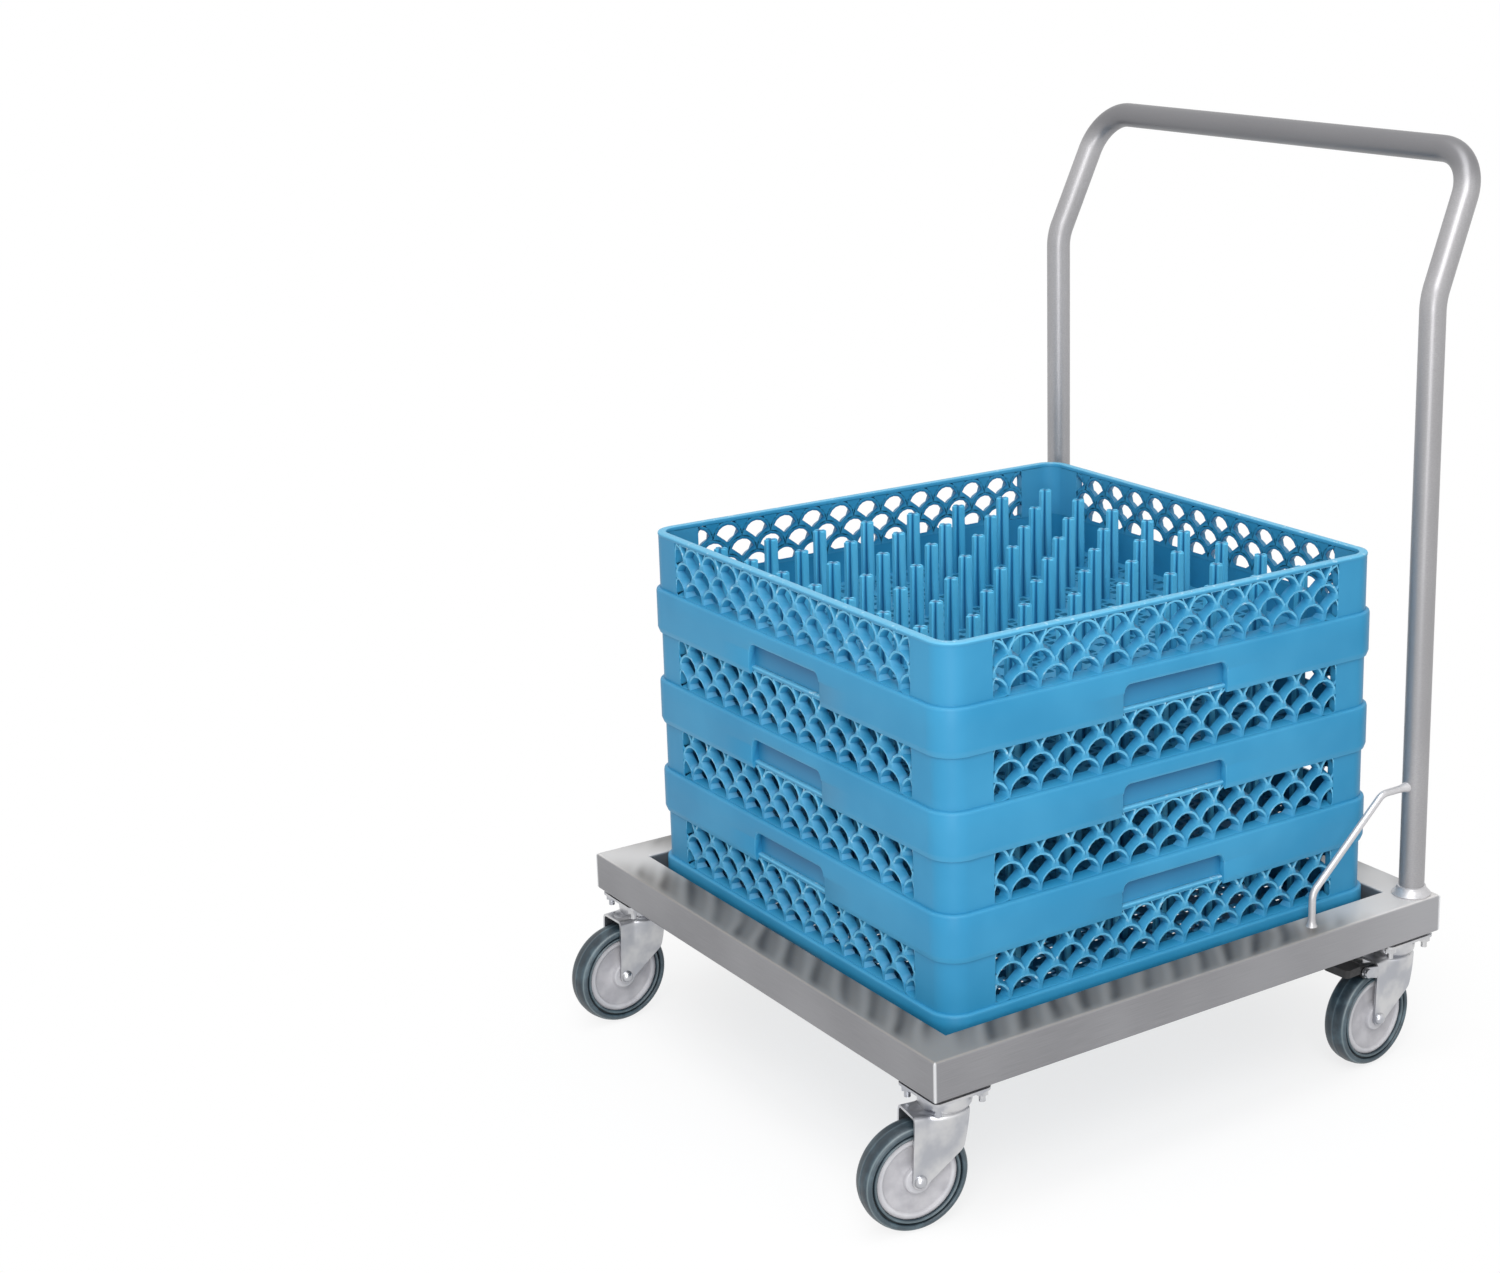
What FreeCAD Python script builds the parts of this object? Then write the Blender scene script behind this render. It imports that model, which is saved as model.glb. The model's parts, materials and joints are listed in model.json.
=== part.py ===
import FreeCAD, Part
import math
import os

os.makedirs("parts", exist_ok=True)

# Square frame of mitred rectangular tube
frame_side = 600.0
rail_width = 40.0
rail_height = 38.0
rail_wall = 1.5
rail_edge_radius = 2.5

# Corner gussets under the rails, with a lip folded down along the diagonal
gusset_thickness = 3.0
gusset_reach = 135.0
gusset_edge_inset = 8.0
gusset_lip_depth = 9.0
gusset_lip_under_rail = 12.0
gusset_bend_radius = 5.0

# Push handle, one bent tube on the two rear corners
overall_height = 892.0
handle_tube_diameter = 25.0
handle_tube_wall = 1.5
handle_lean_rise = 129.5
handle_lean_angle = 24.0
handle_knee_radius = 55.0
handle_corner_radius = 45.0
handle_top_inset = 6.0
collar_foot_diameter = 38.0
collar_top_diameter = 28.0
collar_height = 9.0

# Retaining rods between the side rails and the handle
rod_diameter = 7.0
rod_foot_from_post = 132.0
rod_rise = 33.0
rod_knee_from_post = 44.0
rod_top_height = 112.0
rod_bend_radius = 15.0
weld_gap = 0.1

# Castors: plate, studs, race, kingpin
castor_inset = 33.0
swivel_height = 17.0
castor_trail = 32.0
castor_plate_side = 60.0
castor_plate_thickness = 2.5
castor_plate_corner = 6.0
stud_spacing = 46.0
stud_diameter = 6.0
stud_length = 14.0
stud_hole_clearance = 0.25
stud_nut_across = 10.0
stud_nut_height = 5.0
thread_clearance = 0.05
running_clearance = 0.05
kingpin_diameter = 10.0
kingpin_head_diameter = 16.0
kingpin_head_height = 3.0
race_inner_diameter = 24.0
race_outer_diameter = 40.0
ball_diameter = 5.0
ball_count = 12
ball_gap = 0.15
bowl_floor = 3.0
bowl_wall = 3.0
bowl_gap = 1.0
bowl_height = 11.5

# Swivel angle of each castor as it stands, turned about its kingpin
castor_angles = {"front_left": 3.0, "front_right": -9.0, "rear_left": 2.0, "rear_right": 4.0}

# Castors: fork and axle
fork_sheet = 2.5
fork_bend_radius = 4.0
fork_wheel_gap = 7.5
fork_lead = 16.0
fork_end_radius = 7.0
fork_shoulder_drop = 38.0
fork_shoulder_back = 6.0
fork_shoulder_radius = 10.0
axial_gap = 0.5
pin_head_gap = 0.3
axle_diameter = 8.0
axle_dome_diameter = 12.0
axle_dome_height = 5.0
axle_nut_across = 13.0
axle_nut_height = 6.5
axle_end = 2.0
bush_wall = 1.95

# Castors: wheel and tyre
wheel_diameter = 100.0
tyre_width = 26.0
tyre_depth = 12.0
tyre_seat_width = 19.0
tyre_shoulder_depth = 6.0
hub_width = 28.0
hub_diameter = 26.0
hub_taper = 3.0
web_width = 17.0
rim_lip_depth = 4.5
rim_lip_width = 21.0
rim_lip_taper = 1.5

# Brake pedals of the two rear castors
brake_pivot_back = 20.0
brake_pivot_drop = 6.0
brake_ear_radius = 5.0
brake_pin_diameter = 6.0
brake_pin_overhang = 1.0
brake_pin_head_diameter = 9.0
brake_pin_head_height = 2.0
brake_hub_diameter = 11.0
brake_side_gap = 1.0
brake_shoe_gap = 0.5
brake_shoe_angle = 27.0
brake_shoe_spread = 40.0
pedal_length = 28.0
pedal_width = 32.0
pedal_thickness = 8.0
pedal_rise = 9.0
pedal_corner = 5.0

# Wash baskets, stacked in each other and standing on the gussets
basket_count = 4
basket_clearance = 6.0
basket_height = 101.0
basket_corner_radius = 24.0
basket_wall = 8.0
skirt_height = 45.0
skirt_proud = 4.0
skirt_wall = 3.0
stack_overlap = 8.0
seat_gap = 0.3
base_thickness = 3.7
base_margin = 12.0
base_bar = 12.0
peg_rows = 8
peg_edge = 42.5
peg_foot = 12.0
peg_tip = 9.0
peg_below_rim = 17.0
lattice_end = 50.0
lattice_columns = 12
lattice_rows = 3
lattice_margin = 2.0
rim_depth = 4.0
lattice_rib = 8.0
lattice_rib_height = 3.0
notch_width = 120.0
notch_height = 30.0

# Levels and places worked out from the sizes above
Vector = FreeCAD.Vector
up = Vector(0, 0, 1)
edge_match = 0.001
outer_half = frame_side / 2
rail_half = outer_half - rail_width / 2
inner_half = outer_half - rail_width
crown_bottom = wheel_diameter + fork_wheel_gap
fork_crown_top = crown_bottom + fork_sheet
castor_height = fork_crown_top + swivel_height
rail_bottom = castor_height + gusset_thickness
frame_top = rail_bottom + rail_height
kingpin_half = outer_half - castor_inset
plate_bottom = castor_height - castor_plate_thickness
axle_height = wheel_diameter / 2
leg_inner = hub_width / 2 + axial_gap
leg_outer = leg_inner + fork_sheet
leg_back = castor_trail + fork_end_radius
bowl_floor_top = fork_crown_top + bowl_floor
race_bottom = bowl_floor_top + ball_diameter + 2 * ball_gap
bush_diameter = axle_diameter + 2 * (running_clearance + bush_wall)
brake_pivot = Vector(0, -castor_trail - brake_pivot_back, fork_crown_top - brake_pivot_drop)
tyre_seat = wheel_diameter / 2 - tyre_depth
basket_bottom = rail_bottom + seat_gap
basket_pitch = basket_height - stack_overlap
base_bottom = stack_overlap + seat_gap
base_top = base_bottom + base_thickness
skirt_side = 2 * (inner_half - basket_clearance)
basket_side = skirt_side - 2 * skirt_proud
lattice_width = basket_side - 2 * lattice_end
bore_side = basket_side - 2 * basket_wall
bore_radius = basket_corner_radius - basket_wall
peg_pitch = (bore_side - 2 * peg_edge) / (peg_rows - 1)
peg_places = [(row - (peg_rows - 1) / 2) * peg_pitch for row in range(peg_rows)]
lattice_high = basket_height - rim_depth
corners = {
    "front_left": (-kingpin_half, -kingpin_half),
    "front_right": (kingpin_half, -kingpin_half),
    "rear_left": (-kingpin_half, kingpin_half),
    "rear_right": (kingpin_half, kingpin_half),
}


def save(shape, node):
    shape.exportStep(os.path.join("parts", node + ".step"))
    print(node, len(shape.Solids), "solids", round(shape.Volume / 1000, 2), "cm3")


def cylinder(diameter, low, high, centre=(0, 0)):
    return Part.makeCylinder(diameter / 2, high - low, Vector(centre[0], centre[1], low), up)


def cross_cylinder(diameter, low, high, centre):
    return Part.makeCylinder(diameter / 2, high - low, Vector(low, centre.y, centre.z), Vector(1, 0, 0))


def tube_ring(outer_diameter, inner_diameter, low, high):
    return cylinder(outer_diameter, low, high).cut(cylinder(inner_diameter, low, high))


def polygon_prism(points, direction):
    return Part.Face(Part.makePolygon(points + points[:1])).extrude(direction)


def rounded_rectangle(width, depth, radius, height):
    x, y = width / 2, depth / 2
    cut = radius * (1 - math.sqrt(0.5))
    edges = []
    for sx, sy in ((1, 1), (-1, 1), (-1, -1), (1, -1)):
        ends = [Vector(sx * x, sy * (y - radius), height), Vector(sx * (x - radius), sy * y, height)]
        if sx * sy < 0:
            ends.reverse()
        middle = Vector(sx * (x - cut), sy * (y - cut), height)
        if edges:
            edges.append(Part.LineSegment(edges[-1].EndPoint, ends[0]))
        edges.append(Part.Arc(ends[0], middle, ends[1]))
    edges.append(Part.LineSegment(edges[-1].EndPoint, edges[0].StartPoint))
    return Part.Face(Part.Wire([edge.toShape() for edge in edges]))


def rounded_block(width, depth, radius, low, high):
    return rounded_rectangle(width, depth, radius, low).extrude(up * (high - low))


def hexagon_prism(across, start, direction):
    radius = across / math.sqrt(3)
    side = Vector(0, 1, 0)
    points = []
    for step in range(6):
        turn = FreeCAD.Rotation(direction, 60.0 * step)
        points.append(start + turn.multVec(side) * radius)
    return polygon_prism(points, direction)


# A run of straight lines whose corners are rounded by tangent arcs
def rounded_path(points, radii):
    edges = []
    start = points[0]
    for before, corner, after, radius in zip(points, points[1:], points[2:], radii):
        back = (before - corner).normalize()
        ahead = (after - corner).normalize()
        half = back.getAngle(ahead) / 2
        first = corner + back * (radius / math.tan(half))
        last = corner + ahead * (radius / math.tan(half))
        inward = (back + ahead).normalize()
        middle = corner + inward * (radius / math.sin(half) - radius)
        edges.append(Part.LineSegment(start, first).toShape())
        edges.append(Part.Arc(first, middle, last).toShape())
        start = last
    edges.append(Part.LineSegment(start, points[-1]).toShape())
    return Part.Wire(edges)


def swept_rod(path, diameter, start, direction):
    profile = Part.Wire([Part.makeCircle(diameter / 2, start, direction)])
    return path.makePipeShell([profile], True, False)


# Front rail: rectangular tube along X, cut to the mitred shape of its side of the frame
def make_front_rail():
    across = rounded_rectangle(rail_width, rail_height, rail_edge_radius, 0)
    bore = rounded_rectangle(
        rail_width - 2 * rail_wall, rail_height - 2 * rail_wall, rail_edge_radius - rail_wall, 0
    )
    section = across.cut(bore)
    section.rotate(Vector(), Vector(1, 1, 1), 120)
    section.translate(Vector(-outer_half, -rail_half, rail_bottom + rail_height / 2))
    tube = section.extrude(Vector(frame_side, 0, 0))
    mitre = polygon_prism(
        [
            Vector(-outer_half, -outer_half, rail_bottom),
            Vector(outer_half, -outer_half, rail_bottom),
            Vector(inner_half, -inner_half, rail_bottom),
            Vector(-inner_half, -inner_half, rail_bottom),
        ],
        up * rail_height,
    )
    return tube.common(mitre)


# Rear right gusset: corner triangle with its diagonal edge bent down into a lip
def make_gusset():
    edge = outer_half - gusset_edge_inset
    diagonal = 2 * inner_half - gusset_reach
    top, bottom = rail_bottom, rail_bottom - gusset_thickness
    inner_bend = gusset_bend_radius - gusset_thickness
    shift = gusset_bend_radius * math.sqrt(2)
    plate = polygon_prism(
        [
            Vector(edge, edge, bottom),
            Vector(diagonal + shift - edge, edge, bottom),
            Vector(edge, diagonal + shift - edge, bottom),
        ],
        up * gusset_thickness,
    )
    slant = math.sqrt(0.5)
    lip_end = top - gusset_lip_depth
    bend_level = top - gusset_bend_radius

    def across(distance, level):
        return Vector(diagonal / 2 + distance * slant, diagonal / 2 + distance * slant, level)

    outer_arc = Part.Arc(
        across(gusset_bend_radius, top),
        across(gusset_bend_radius * (1 - slant), top - gusset_bend_radius * (1 - slant)),
        across(0, bend_level),
    )
    inner_arc = Part.Arc(
        across(gusset_thickness, bend_level),
        across(gusset_bend_radius - inner_bend * slant, bend_level + inner_bend * slant),
        across(gusset_bend_radius, bottom),
    )
    lip_foot = [across(0, bend_level), across(0, lip_end)]
    lip_foot += [across(gusset_thickness, lip_end), across(gusset_thickness, bend_level)]
    profile = Part.Wire(
        [
            outer_arc.toShape(),
            Part.makePolygon(lip_foot),
            inner_arc.toShape(),
            Part.makeLine(across(gusset_bend_radius, bottom), across(gusset_bend_radius, top)),
        ]
    )
    along = Vector(1, -1, 0) * frame_side
    lip = Part.Face(profile)
    lip.translate(along * -0.5)
    lip = lip.extrude(along)
    lip_reach = inner_half + gusset_lip_under_rail
    trim_corner = Vector(lip_reach - frame_side, lip_reach - frame_side, lip_end)
    trim = Part.makeBox(frame_side, frame_side, gusset_lip_depth, trim_corner)
    return plate.fuse(lip.common(trim)).removeSplitter()


# Push handle: vertical posts, a knee where both lean back and a little inwards, and a bar across the top
def make_handle():
    bar_height = overall_height - handle_tube_diameter / 2
    knee = bar_height - handle_lean_rise
    bar_back = rail_half + handle_lean_rise * math.tan(math.radians(handle_lean_angle))
    bar_half = rail_half - handle_top_inset
    points = [
        Vector(-rail_half, rail_half, frame_top),
        Vector(-rail_half, rail_half, knee),
        Vector(-bar_half, bar_back, bar_height),
        Vector(bar_half, bar_back, bar_height),
        Vector(rail_half, rail_half, knee),
        Vector(rail_half, rail_half, frame_top),
    ]
    radii = [handle_knee_radius, handle_corner_radius, handle_corner_radius, handle_knee_radius]
    path = rounded_path(points, radii)
    outer = swept_rod(path, handle_tube_diameter, points[0], up)
    bore = swept_rod(path, handle_tube_diameter - 2 * handle_tube_wall, points[0], up)
    return outer.cut(bore)


def make_collars():
    foot = Part.makeCone(collar_foot_diameter / 2, collar_top_diameter / 2, collar_height)
    foot = foot.cut(cylinder(handle_tube_diameter + 2 * weld_gap, 0, collar_height))
    feet = []
    for side in (-1, 1):
        feet.append(foot.translated(Vector(side * rail_half, rail_half, frame_top)))
    return Part.makeCompound(feet)


# Right retaining rod, coped where it meets the handle's post
def make_retaining_rod():
    foot_y = rail_half - rod_foot_from_post
    knee_y = rail_half - rod_knee_from_post
    points = [
        Vector(rail_half, foot_y, frame_top),
        Vector(rail_half, foot_y, frame_top + rod_rise),
        Vector(rail_half, knee_y, frame_top + rod_top_height),
        Vector(rail_half, rail_half, frame_top + rod_top_height),
    ]
    path = rounded_path(points, [rod_bend_radius, rod_bend_radius])
    rod = swept_rod(path, rod_diameter, points[0], up)
    post = cylinder(
        handle_tube_diameter + 2 * weld_gap, frame_top, frame_top + 2 * rod_top_height, (rail_half, rail_half)
    )
    return max(rod.cut(post).Solids, key=lambda solid: solid.Volume)


def stud_places():
    half = stud_spacing / 2
    return [(x, y) for x in (-half, half) for y in (-half, half)]


def make_castor_plate():
    plate = rounded_block(
        castor_plate_side, castor_plate_side, castor_plate_corner, plate_bottom, castor_height
    )
    plate = plate.fuse(tube_ring(race_outer_diameter, race_inner_diameter, race_bottom, plate_bottom))
    holes = [cylinder(kingpin_diameter + 2 * running_clearance, plate_bottom, castor_height)]
    for place in stud_places():
        holes.append(
            cylinder(stud_diameter + 2 * stud_hole_clearance, plate_bottom, castor_height, place)
        )
    return plate.cut(holes)


def make_kingpin():
    head_top = crown_bottom - pin_head_gap
    shank = cylinder(kingpin_diameter, head_top, castor_height)
    head = cylinder(kingpin_head_diameter, head_top - kingpin_head_height, head_top)
    return shank.fuse(head).removeSplitter()


def make_balls():
    level = bowl_floor_top + ball_gap + ball_diameter / 2
    radius = (race_inner_diameter + race_outer_diameter) / 4
    balls = []
    for step in range(ball_count):
        turn = 2 * math.pi * step / ball_count
        place = Vector(radius * math.cos(turn), radius * math.sin(turn), level)
        balls.append(Part.makeSphere(ball_diameter / 2, place))
    return balls


def make_studs():
    low = castor_height - stud_length
    return [cylinder(stud_diameter, low, castor_height, place) for place in stud_places()]


def make_stud_nuts():
    bore = stud_diameter + 2 * thread_clearance
    low = plate_bottom - stud_nut_height
    nuts = []
    for x, y in stud_places():
        nut = hexagon_prism(stud_nut_across, Vector(x, y, low), up * stud_nut_height)
        nuts.append(nut.cut(cylinder(bore, low, plate_bottom, (x, y))))
    return nuts


# Point where a line from the fork's shoulder touches the rounded end of the leg
def leg_end_touch(shoulder, centre):
    reach = centre - shoulder
    lean = math.atan2(reach.z, reach.y) + math.asin(fork_end_radius / reach.Length)
    length = math.sqrt(reach.Length ** 2 - fork_end_radius ** 2)
    return shoulder + Vector(0, length * math.cos(lean), length * math.sin(lean))


def edges_along_y(shape, level):
    found = []
    for edge in shape.Edges:
        first, last = edge.firstVertex().Point, edge.lastVertex().Point
        level_ends = max(abs(first.z - level), abs(last.z - level)) < edge_match
        if level_ends and abs(first.x - last.x) < edge_match:
            found.append(edge)
    return found


def edges_across(shape, place):
    found = []
    for edge in shape.Edges:
        ends = (edge.firstVertex().Point, edge.lastVertex().Point)
        if all(abs(end.y - place.y) < edge_match and abs(end.z - place.z) < edge_match for end in ends):
            found.append(edge)
    return found


# Fork: a channel bent over the wheel, with a bowl for the ball race on its crown
def make_fork(with_brake):
    axle = Vector(-leg_outer, -castor_trail, axle_height)
    shoulder = Vector(-leg_outer, fork_lead - fork_shoulder_back, fork_crown_top - fork_shoulder_drop)
    touch = leg_end_touch(shoulder, axle)
    back_low = Vector(-leg_outer, -leg_back, axle_height)
    back_top = Vector(-leg_outer, -leg_back, fork_crown_top)
    lead_top = Vector(-leg_outer, fork_lead, fork_crown_top)
    end_arc = Part.Arc(touch, axle - up * fork_end_radius, back_low)
    outline = Part.Wire(
        [end_arc.toShape(), Part.makePolygon([back_low, back_top, lead_top, shoulder, touch])]
    )
    block = Part.Face(outline).extrude(Vector(2 * leg_outer, 0, 0))
    block = block.makeFillet(fork_bend_radius, edges_along_y(block, fork_crown_top))
    block = block.makeFillet(fork_shoulder_radius, edges_across(block, shoulder))
    bowl_diameter = race_outer_diameter + 2 * (bowl_gap + bowl_wall)
    flare = Part.makeCone(leg_outer, bowl_diameter / 2, bowl_diameter / 2 - leg_outer)
    flare.translate(up * (fork_crown_top - bowl_diameter / 2 + leg_outer))
    pieces = [flare, cylinder(bowl_diameter, fork_crown_top, fork_crown_top + bowl_height)]
    if with_brake:
        pieces.append(brake_ears())
    fork = block.fuse(pieces)
    span = fork_lead + leg_back + bowl_diameter + pedal_length
    hollow = Part.makeBox(2 * leg_inner, 2 * span, crown_bottom, Vector(-leg_inner, -span, 0))
    cuts = [
        hollow.makeFillet(fork_bend_radius - fork_sheet, edges_along_y(hollow, crown_bottom)),
        cylinder(bowl_diameter - 2 * bowl_wall, bowl_floor_top, fork_crown_top + bowl_height),
        cylinder(kingpin_diameter + 2 * running_clearance, 0, bowl_floor_top),
        cross_cylinder(axle_diameter + 2 * running_clearance, -leg_outer, leg_outer, axle),
    ]
    if with_brake:
        bore = brake_pin_diameter + 2 * running_clearance
        cuts.append(cross_cylinder(bore, -leg_outer, leg_outer, brake_pivot))
        gap = brake_hub_diameter / 2 + brake_side_gap
        cuts.append(
            Part.makeBox(
                2 * leg_inner, span, fork_crown_top, Vector(-leg_inner, -leg_back - span, crown_bottom - gap)
            )
        )
    return fork.cut(cuts).removeSplitter()


# Two ears behind the fork's legs that carry the brake pin
def brake_ears():
    root_y = -leg_back + fork_sheet
    radius = brake_ear_radius
    web = polygon_prism(
        [
            Vector(-leg_outer, root_y, fork_crown_top - fork_bend_radius),
            Vector(-leg_outer, brake_pivot.y, brake_pivot.z + radius),
            Vector(-leg_outer, brake_pivot.y, brake_pivot.z - radius),
            Vector(-leg_outer, root_y, brake_pivot.z - 2 * radius),
        ],
        Vector(2 * leg_outer, 0, 0),
    )
    return web.fuse(cross_cylinder(2 * radius, -leg_outer, leg_outer, brake_pivot))


def axle_place():
    return Vector(0, -castor_trail, axle_height)


# Axle bolt with a domed head on the outside of the fork
def make_axle_bolt():
    axle = axle_place()
    end = -leg_outer - axle_nut_height - axle_end
    radius = (axle_dome_diameter ** 2 / 4 + axle_dome_height ** 2) / (2 * axle_dome_height)
    ball = Part.makeSphere(radius, axle + Vector(leg_outer + axle_dome_height - radius, 0, 0))
    outside = Part.makeBox(2 * radius, 2 * radius, 2 * radius, axle + Vector(leg_outer, -radius, -radius))
    shank = cross_cylinder(axle_diameter, end, leg_outer, axle)
    return ball.common(outside).fuse(shank).removeSplitter()


def make_axle_nut():
    axle = axle_place()
    low = -leg_outer - axle_nut_height
    nut = hexagon_prism(axle_nut_across, axle + Vector(low, 0, 0), Vector(axle_nut_height, 0, 0))
    return nut.cut(cross_cylinder(axle_diameter + 2 * thread_clearance, low, -leg_outer, axle))


def make_bush():
    axle = axle_place()
    outer = cross_cylinder(bush_diameter, -leg_inner, leg_inner, axle)
    return outer.cut(cross_cylinder(axle_diameter + 2 * running_clearance, -leg_inner, leg_inner, axle))


# Turns one half of a section, as (along the axle, radius) points, into a full ring
def turned(edges):
    axle = axle_place()
    return Part.Face(Part.Wire(edges)).revolve(axle, Vector(1, 0, 0), 360)


def section_point(along, radius):
    return axle_place() + Vector(along, 0, radius)


def make_wheel():
    bore = bush_diameter / 2 + running_clearance
    lip = tyre_seat - rim_lip_depth
    half = [
        (hub_width / 2, bore),
        (hub_width / 2, hub_diameter / 2 - hub_taper),
        (web_width / 2, hub_diameter / 2),
        (web_width / 2, lip),
        (rim_lip_width / 2, lip + rim_lip_taper),
        (rim_lip_width / 2, tyre_seat - rim_lip_taper),
        (tyre_seat_width / 2, tyre_seat),
    ]
    outline = half + [(-along, radius) for along, radius in reversed(half)]
    points = [section_point(along, radius) for along, radius in outline]
    return turned([Part.makePolygon(points + points[:1])])


def make_tyre():
    shoulder = wheel_diameter / 2 - tyre_shoulder_depth
    bead = (tyre_seat + shoulder) / 2
    left_shoulder = section_point(-tyre_width / 2, shoulder)
    right_shoulder = section_point(tyre_width / 2, shoulder)
    tread = Part.Arc(left_shoulder, section_point(0, wheel_diameter / 2), right_shoulder)
    inside = [
        right_shoulder,
        section_point(tyre_width / 2, bead),
        section_point(tyre_seat_width / 2, tyre_seat),
        section_point(-tyre_seat_width / 2, tyre_seat),
        section_point(-tyre_width / 2, bead),
        left_shoulder,
    ]
    return turned([tread.toShape(), Part.makePolygon(inside)])


def make_brake_pin():
    end = leg_outer + brake_pin_overhang
    pin = cross_cylinder(brake_pin_diameter, -end, end, brake_pivot)
    head = cross_cylinder(brake_pin_head_diameter, end, end + brake_pin_head_height, brake_pivot)
    return pin.fuse(head).removeSplitter()


# Brake pedal: hub between the ears, a shoe that turns towards the tyre, and a tread pad behind
def make_brake_pedal():
    half = leg_inner - brake_side_gap
    hub_radius = brake_hub_diameter / 2
    hub = cross_cylinder(brake_hub_diameter, -half, half, brake_pivot)
    to_axle = axle_place() - brake_pivot
    aim = math.degrees(math.atan2(to_axle.z, to_axle.y)) - brake_shoe_angle
    reach = to_axle.Length - wheel_diameter / 2 - brake_shoe_gap

    def around(angle, radius):
        turn = math.radians(angle)
        return brake_pivot + Vector(-half, radius * math.cos(turn), radius * math.sin(turn))

    shoe = polygon_prism(
        [
            around(aim, 0),
            around(aim - brake_shoe_spread, hub_radius),
            around(aim, reach),
            around(aim + brake_shoe_spread, hub_radius),
        ],
        Vector(2 * half, 0, 0),
    )
    pad_front = brake_pivot.y - brake_ear_radius - brake_side_gap
    pad_back = brake_pivot.y - pedal_length
    pad_top = brake_pivot.z + pedal_rise
    neck = Part.makeBox(
        2 * half, brake_pivot.y - pad_front + pedal_corner, hub_radius,
        Vector(-half, pad_front - pedal_corner, brake_pivot.z),
    )
    pad = rounded_block(pedal_width, pad_front - pad_back, pedal_corner, pad_top - pedal_thickness, pad_top)
    pad.translate(Vector(0, (pad_front + pad_back) / 2, 0))
    pedal = hub.fuse([shoe, neck, pad])
    bore = cross_cylinder(brake_pin_diameter + 2 * running_clearance, -half, half, brake_pivot)
    return pedal.cut(bore).removeSplitter()


# Frame of a basket: skirt, corner posts and rim round a window for the lattice, as four mitred sides
def make_basket_frame():
    mouth_side = skirt_side - 2 * skirt_wall
    skirt_radius = basket_corner_radius + skirt_proud
    skirt = rounded_block(skirt_side, skirt_side, skirt_radius, 0, skirt_height)
    wall = rounded_block(basket_side, basket_side, basket_corner_radius, skirt_height, basket_height)
    mouth = rounded_block(mouth_side, mouth_side, skirt_radius - skirt_wall, 0, base_bottom)
    bore = rounded_block(bore_side, bore_side, bore_radius, base_bottom, basket_height)
    window = Part.makeBox(lattice_width, basket_wall, lattice_high - skirt_height)
    window.translate(Vector(-lattice_width / 2, -basket_side / 2, skirt_height))
    notch = Part.makeBox(notch_width, skirt_proud, notch_height)
    notch.translate(Vector(-notch_width / 2, -skirt_side / 2, 0))
    side = skirt.fuse(wall).common(mitre_wedge()).cut([mouth, bore, window, notch]).removeSplitter()
    return four_sides(side)


def mitre_wedge():
    points = [Vector(), Vector(-skirt_side, -skirt_side, 0), Vector(skirt_side, -skirt_side, 0)]
    return polygon_prism(points, up * basket_height)


def four_sides(front):
    return Part.makeCompound([front.rotated(Vector(), up, turn) for turn in (0, 90, 180, 270)])


def rectangle_wire(corner, across, along):
    points = [corner, corner + across, corner + across + along, corner + along, corner]
    return Part.makePolygon(points)


# One scale-shaped hole: an arch over a point
def scale_wire(middle, low, half, height):
    front = -basket_side / 2
    left = Vector(middle - half, front, low + height / 2)
    right = Vector(middle + half, front, low + height / 2)
    arch = Part.Arc(left, Vector(middle, front, low + height), right)
    return Part.Wire([arch.toShape(), Part.makePolygon([right, Vector(middle, front, low), left])])


# Lattice panels: staggered rows of scale-shaped holes in each of the four walls
def make_lattice():
    panel_height = lattice_high - skirt_height
    pitch = lattice_width / lattice_columns
    row_height = (panel_height - lattice_margin) / lattice_rows
    half = (pitch - lattice_rib) / 2
    height = row_height - lattice_rib_height
    corner = Vector(-lattice_width / 2, -basket_side / 2, skirt_height)
    wires = [rectangle_wire(corner, Vector(lattice_width, 0, 0), up * panel_height)]
    for row in range(lattice_rows):
        columns = lattice_columns - (row + 1) % 2
        low = skirt_height + lattice_margin + row * row_height
        for column in range(columns):
            middle = (column - (columns - 1) / 2) * pitch
            wires.append(scale_wire(middle, low, half, height))
    face = Part.makeFace(wires, "Part::FaceMakerBullseye")
    return four_sides(face.extrude(Vector(0, basket_wall, 0)))


# Base grille: square holes between the rows of pegs and narrower ones along the walls
def make_base_grid():
    edge = rounded_rectangle(bore_side, bore_side, bore_radius, base_bottom)
    half = bore_side / 2 - base_margin
    lows = [-half] + [place + base_bar / 2 for place in peg_places]
    highs = [place - base_bar / 2 for place in peg_places] + [half]
    wires = [edge.OuterWire]
    for x, x_end in zip(lows, highs):
        for y, y_end in zip(lows, highs):
            corner = Vector(x, y, base_bottom)
            wires.append(rectangle_wire(corner, Vector(x_end - x, 0, 0), Vector(0, y_end - y, 0)))
    return Part.makeFace(wires, "Part::FaceMakerBullseye").extrude(up * base_thickness)


def make_pegs():
    tip_level = basket_height - peg_below_rim
    wires = []
    for side, level in ((peg_foot, base_top), (peg_tip, tip_level)):
        corner = Vector(-side / 2, -side / 2, level)
        wires.append(rectangle_wire(corner, Vector(side, 0, 0), Vector(0, side, 0)))
    peg = Part.makeLoft(wires, True, True)
    pegs = []
    for x in peg_places:
        for y in peg_places:
            pegs.append(peg.translated(Vector(x, y, 0)))
    return pegs


# Turns a castor's piece to its standing angle and puts it at its corner
def at_corner(shape, corner):
    x, y = corners[corner]
    placed = shape.rotated(Vector(), up, castor_angles[corner])
    return placed.translated(Vector(x, y, 0))


def square_to_frame(shape, corner):
    x, y = corners[corner]
    return shape.translated(Vector(x, y, 0))


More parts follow.
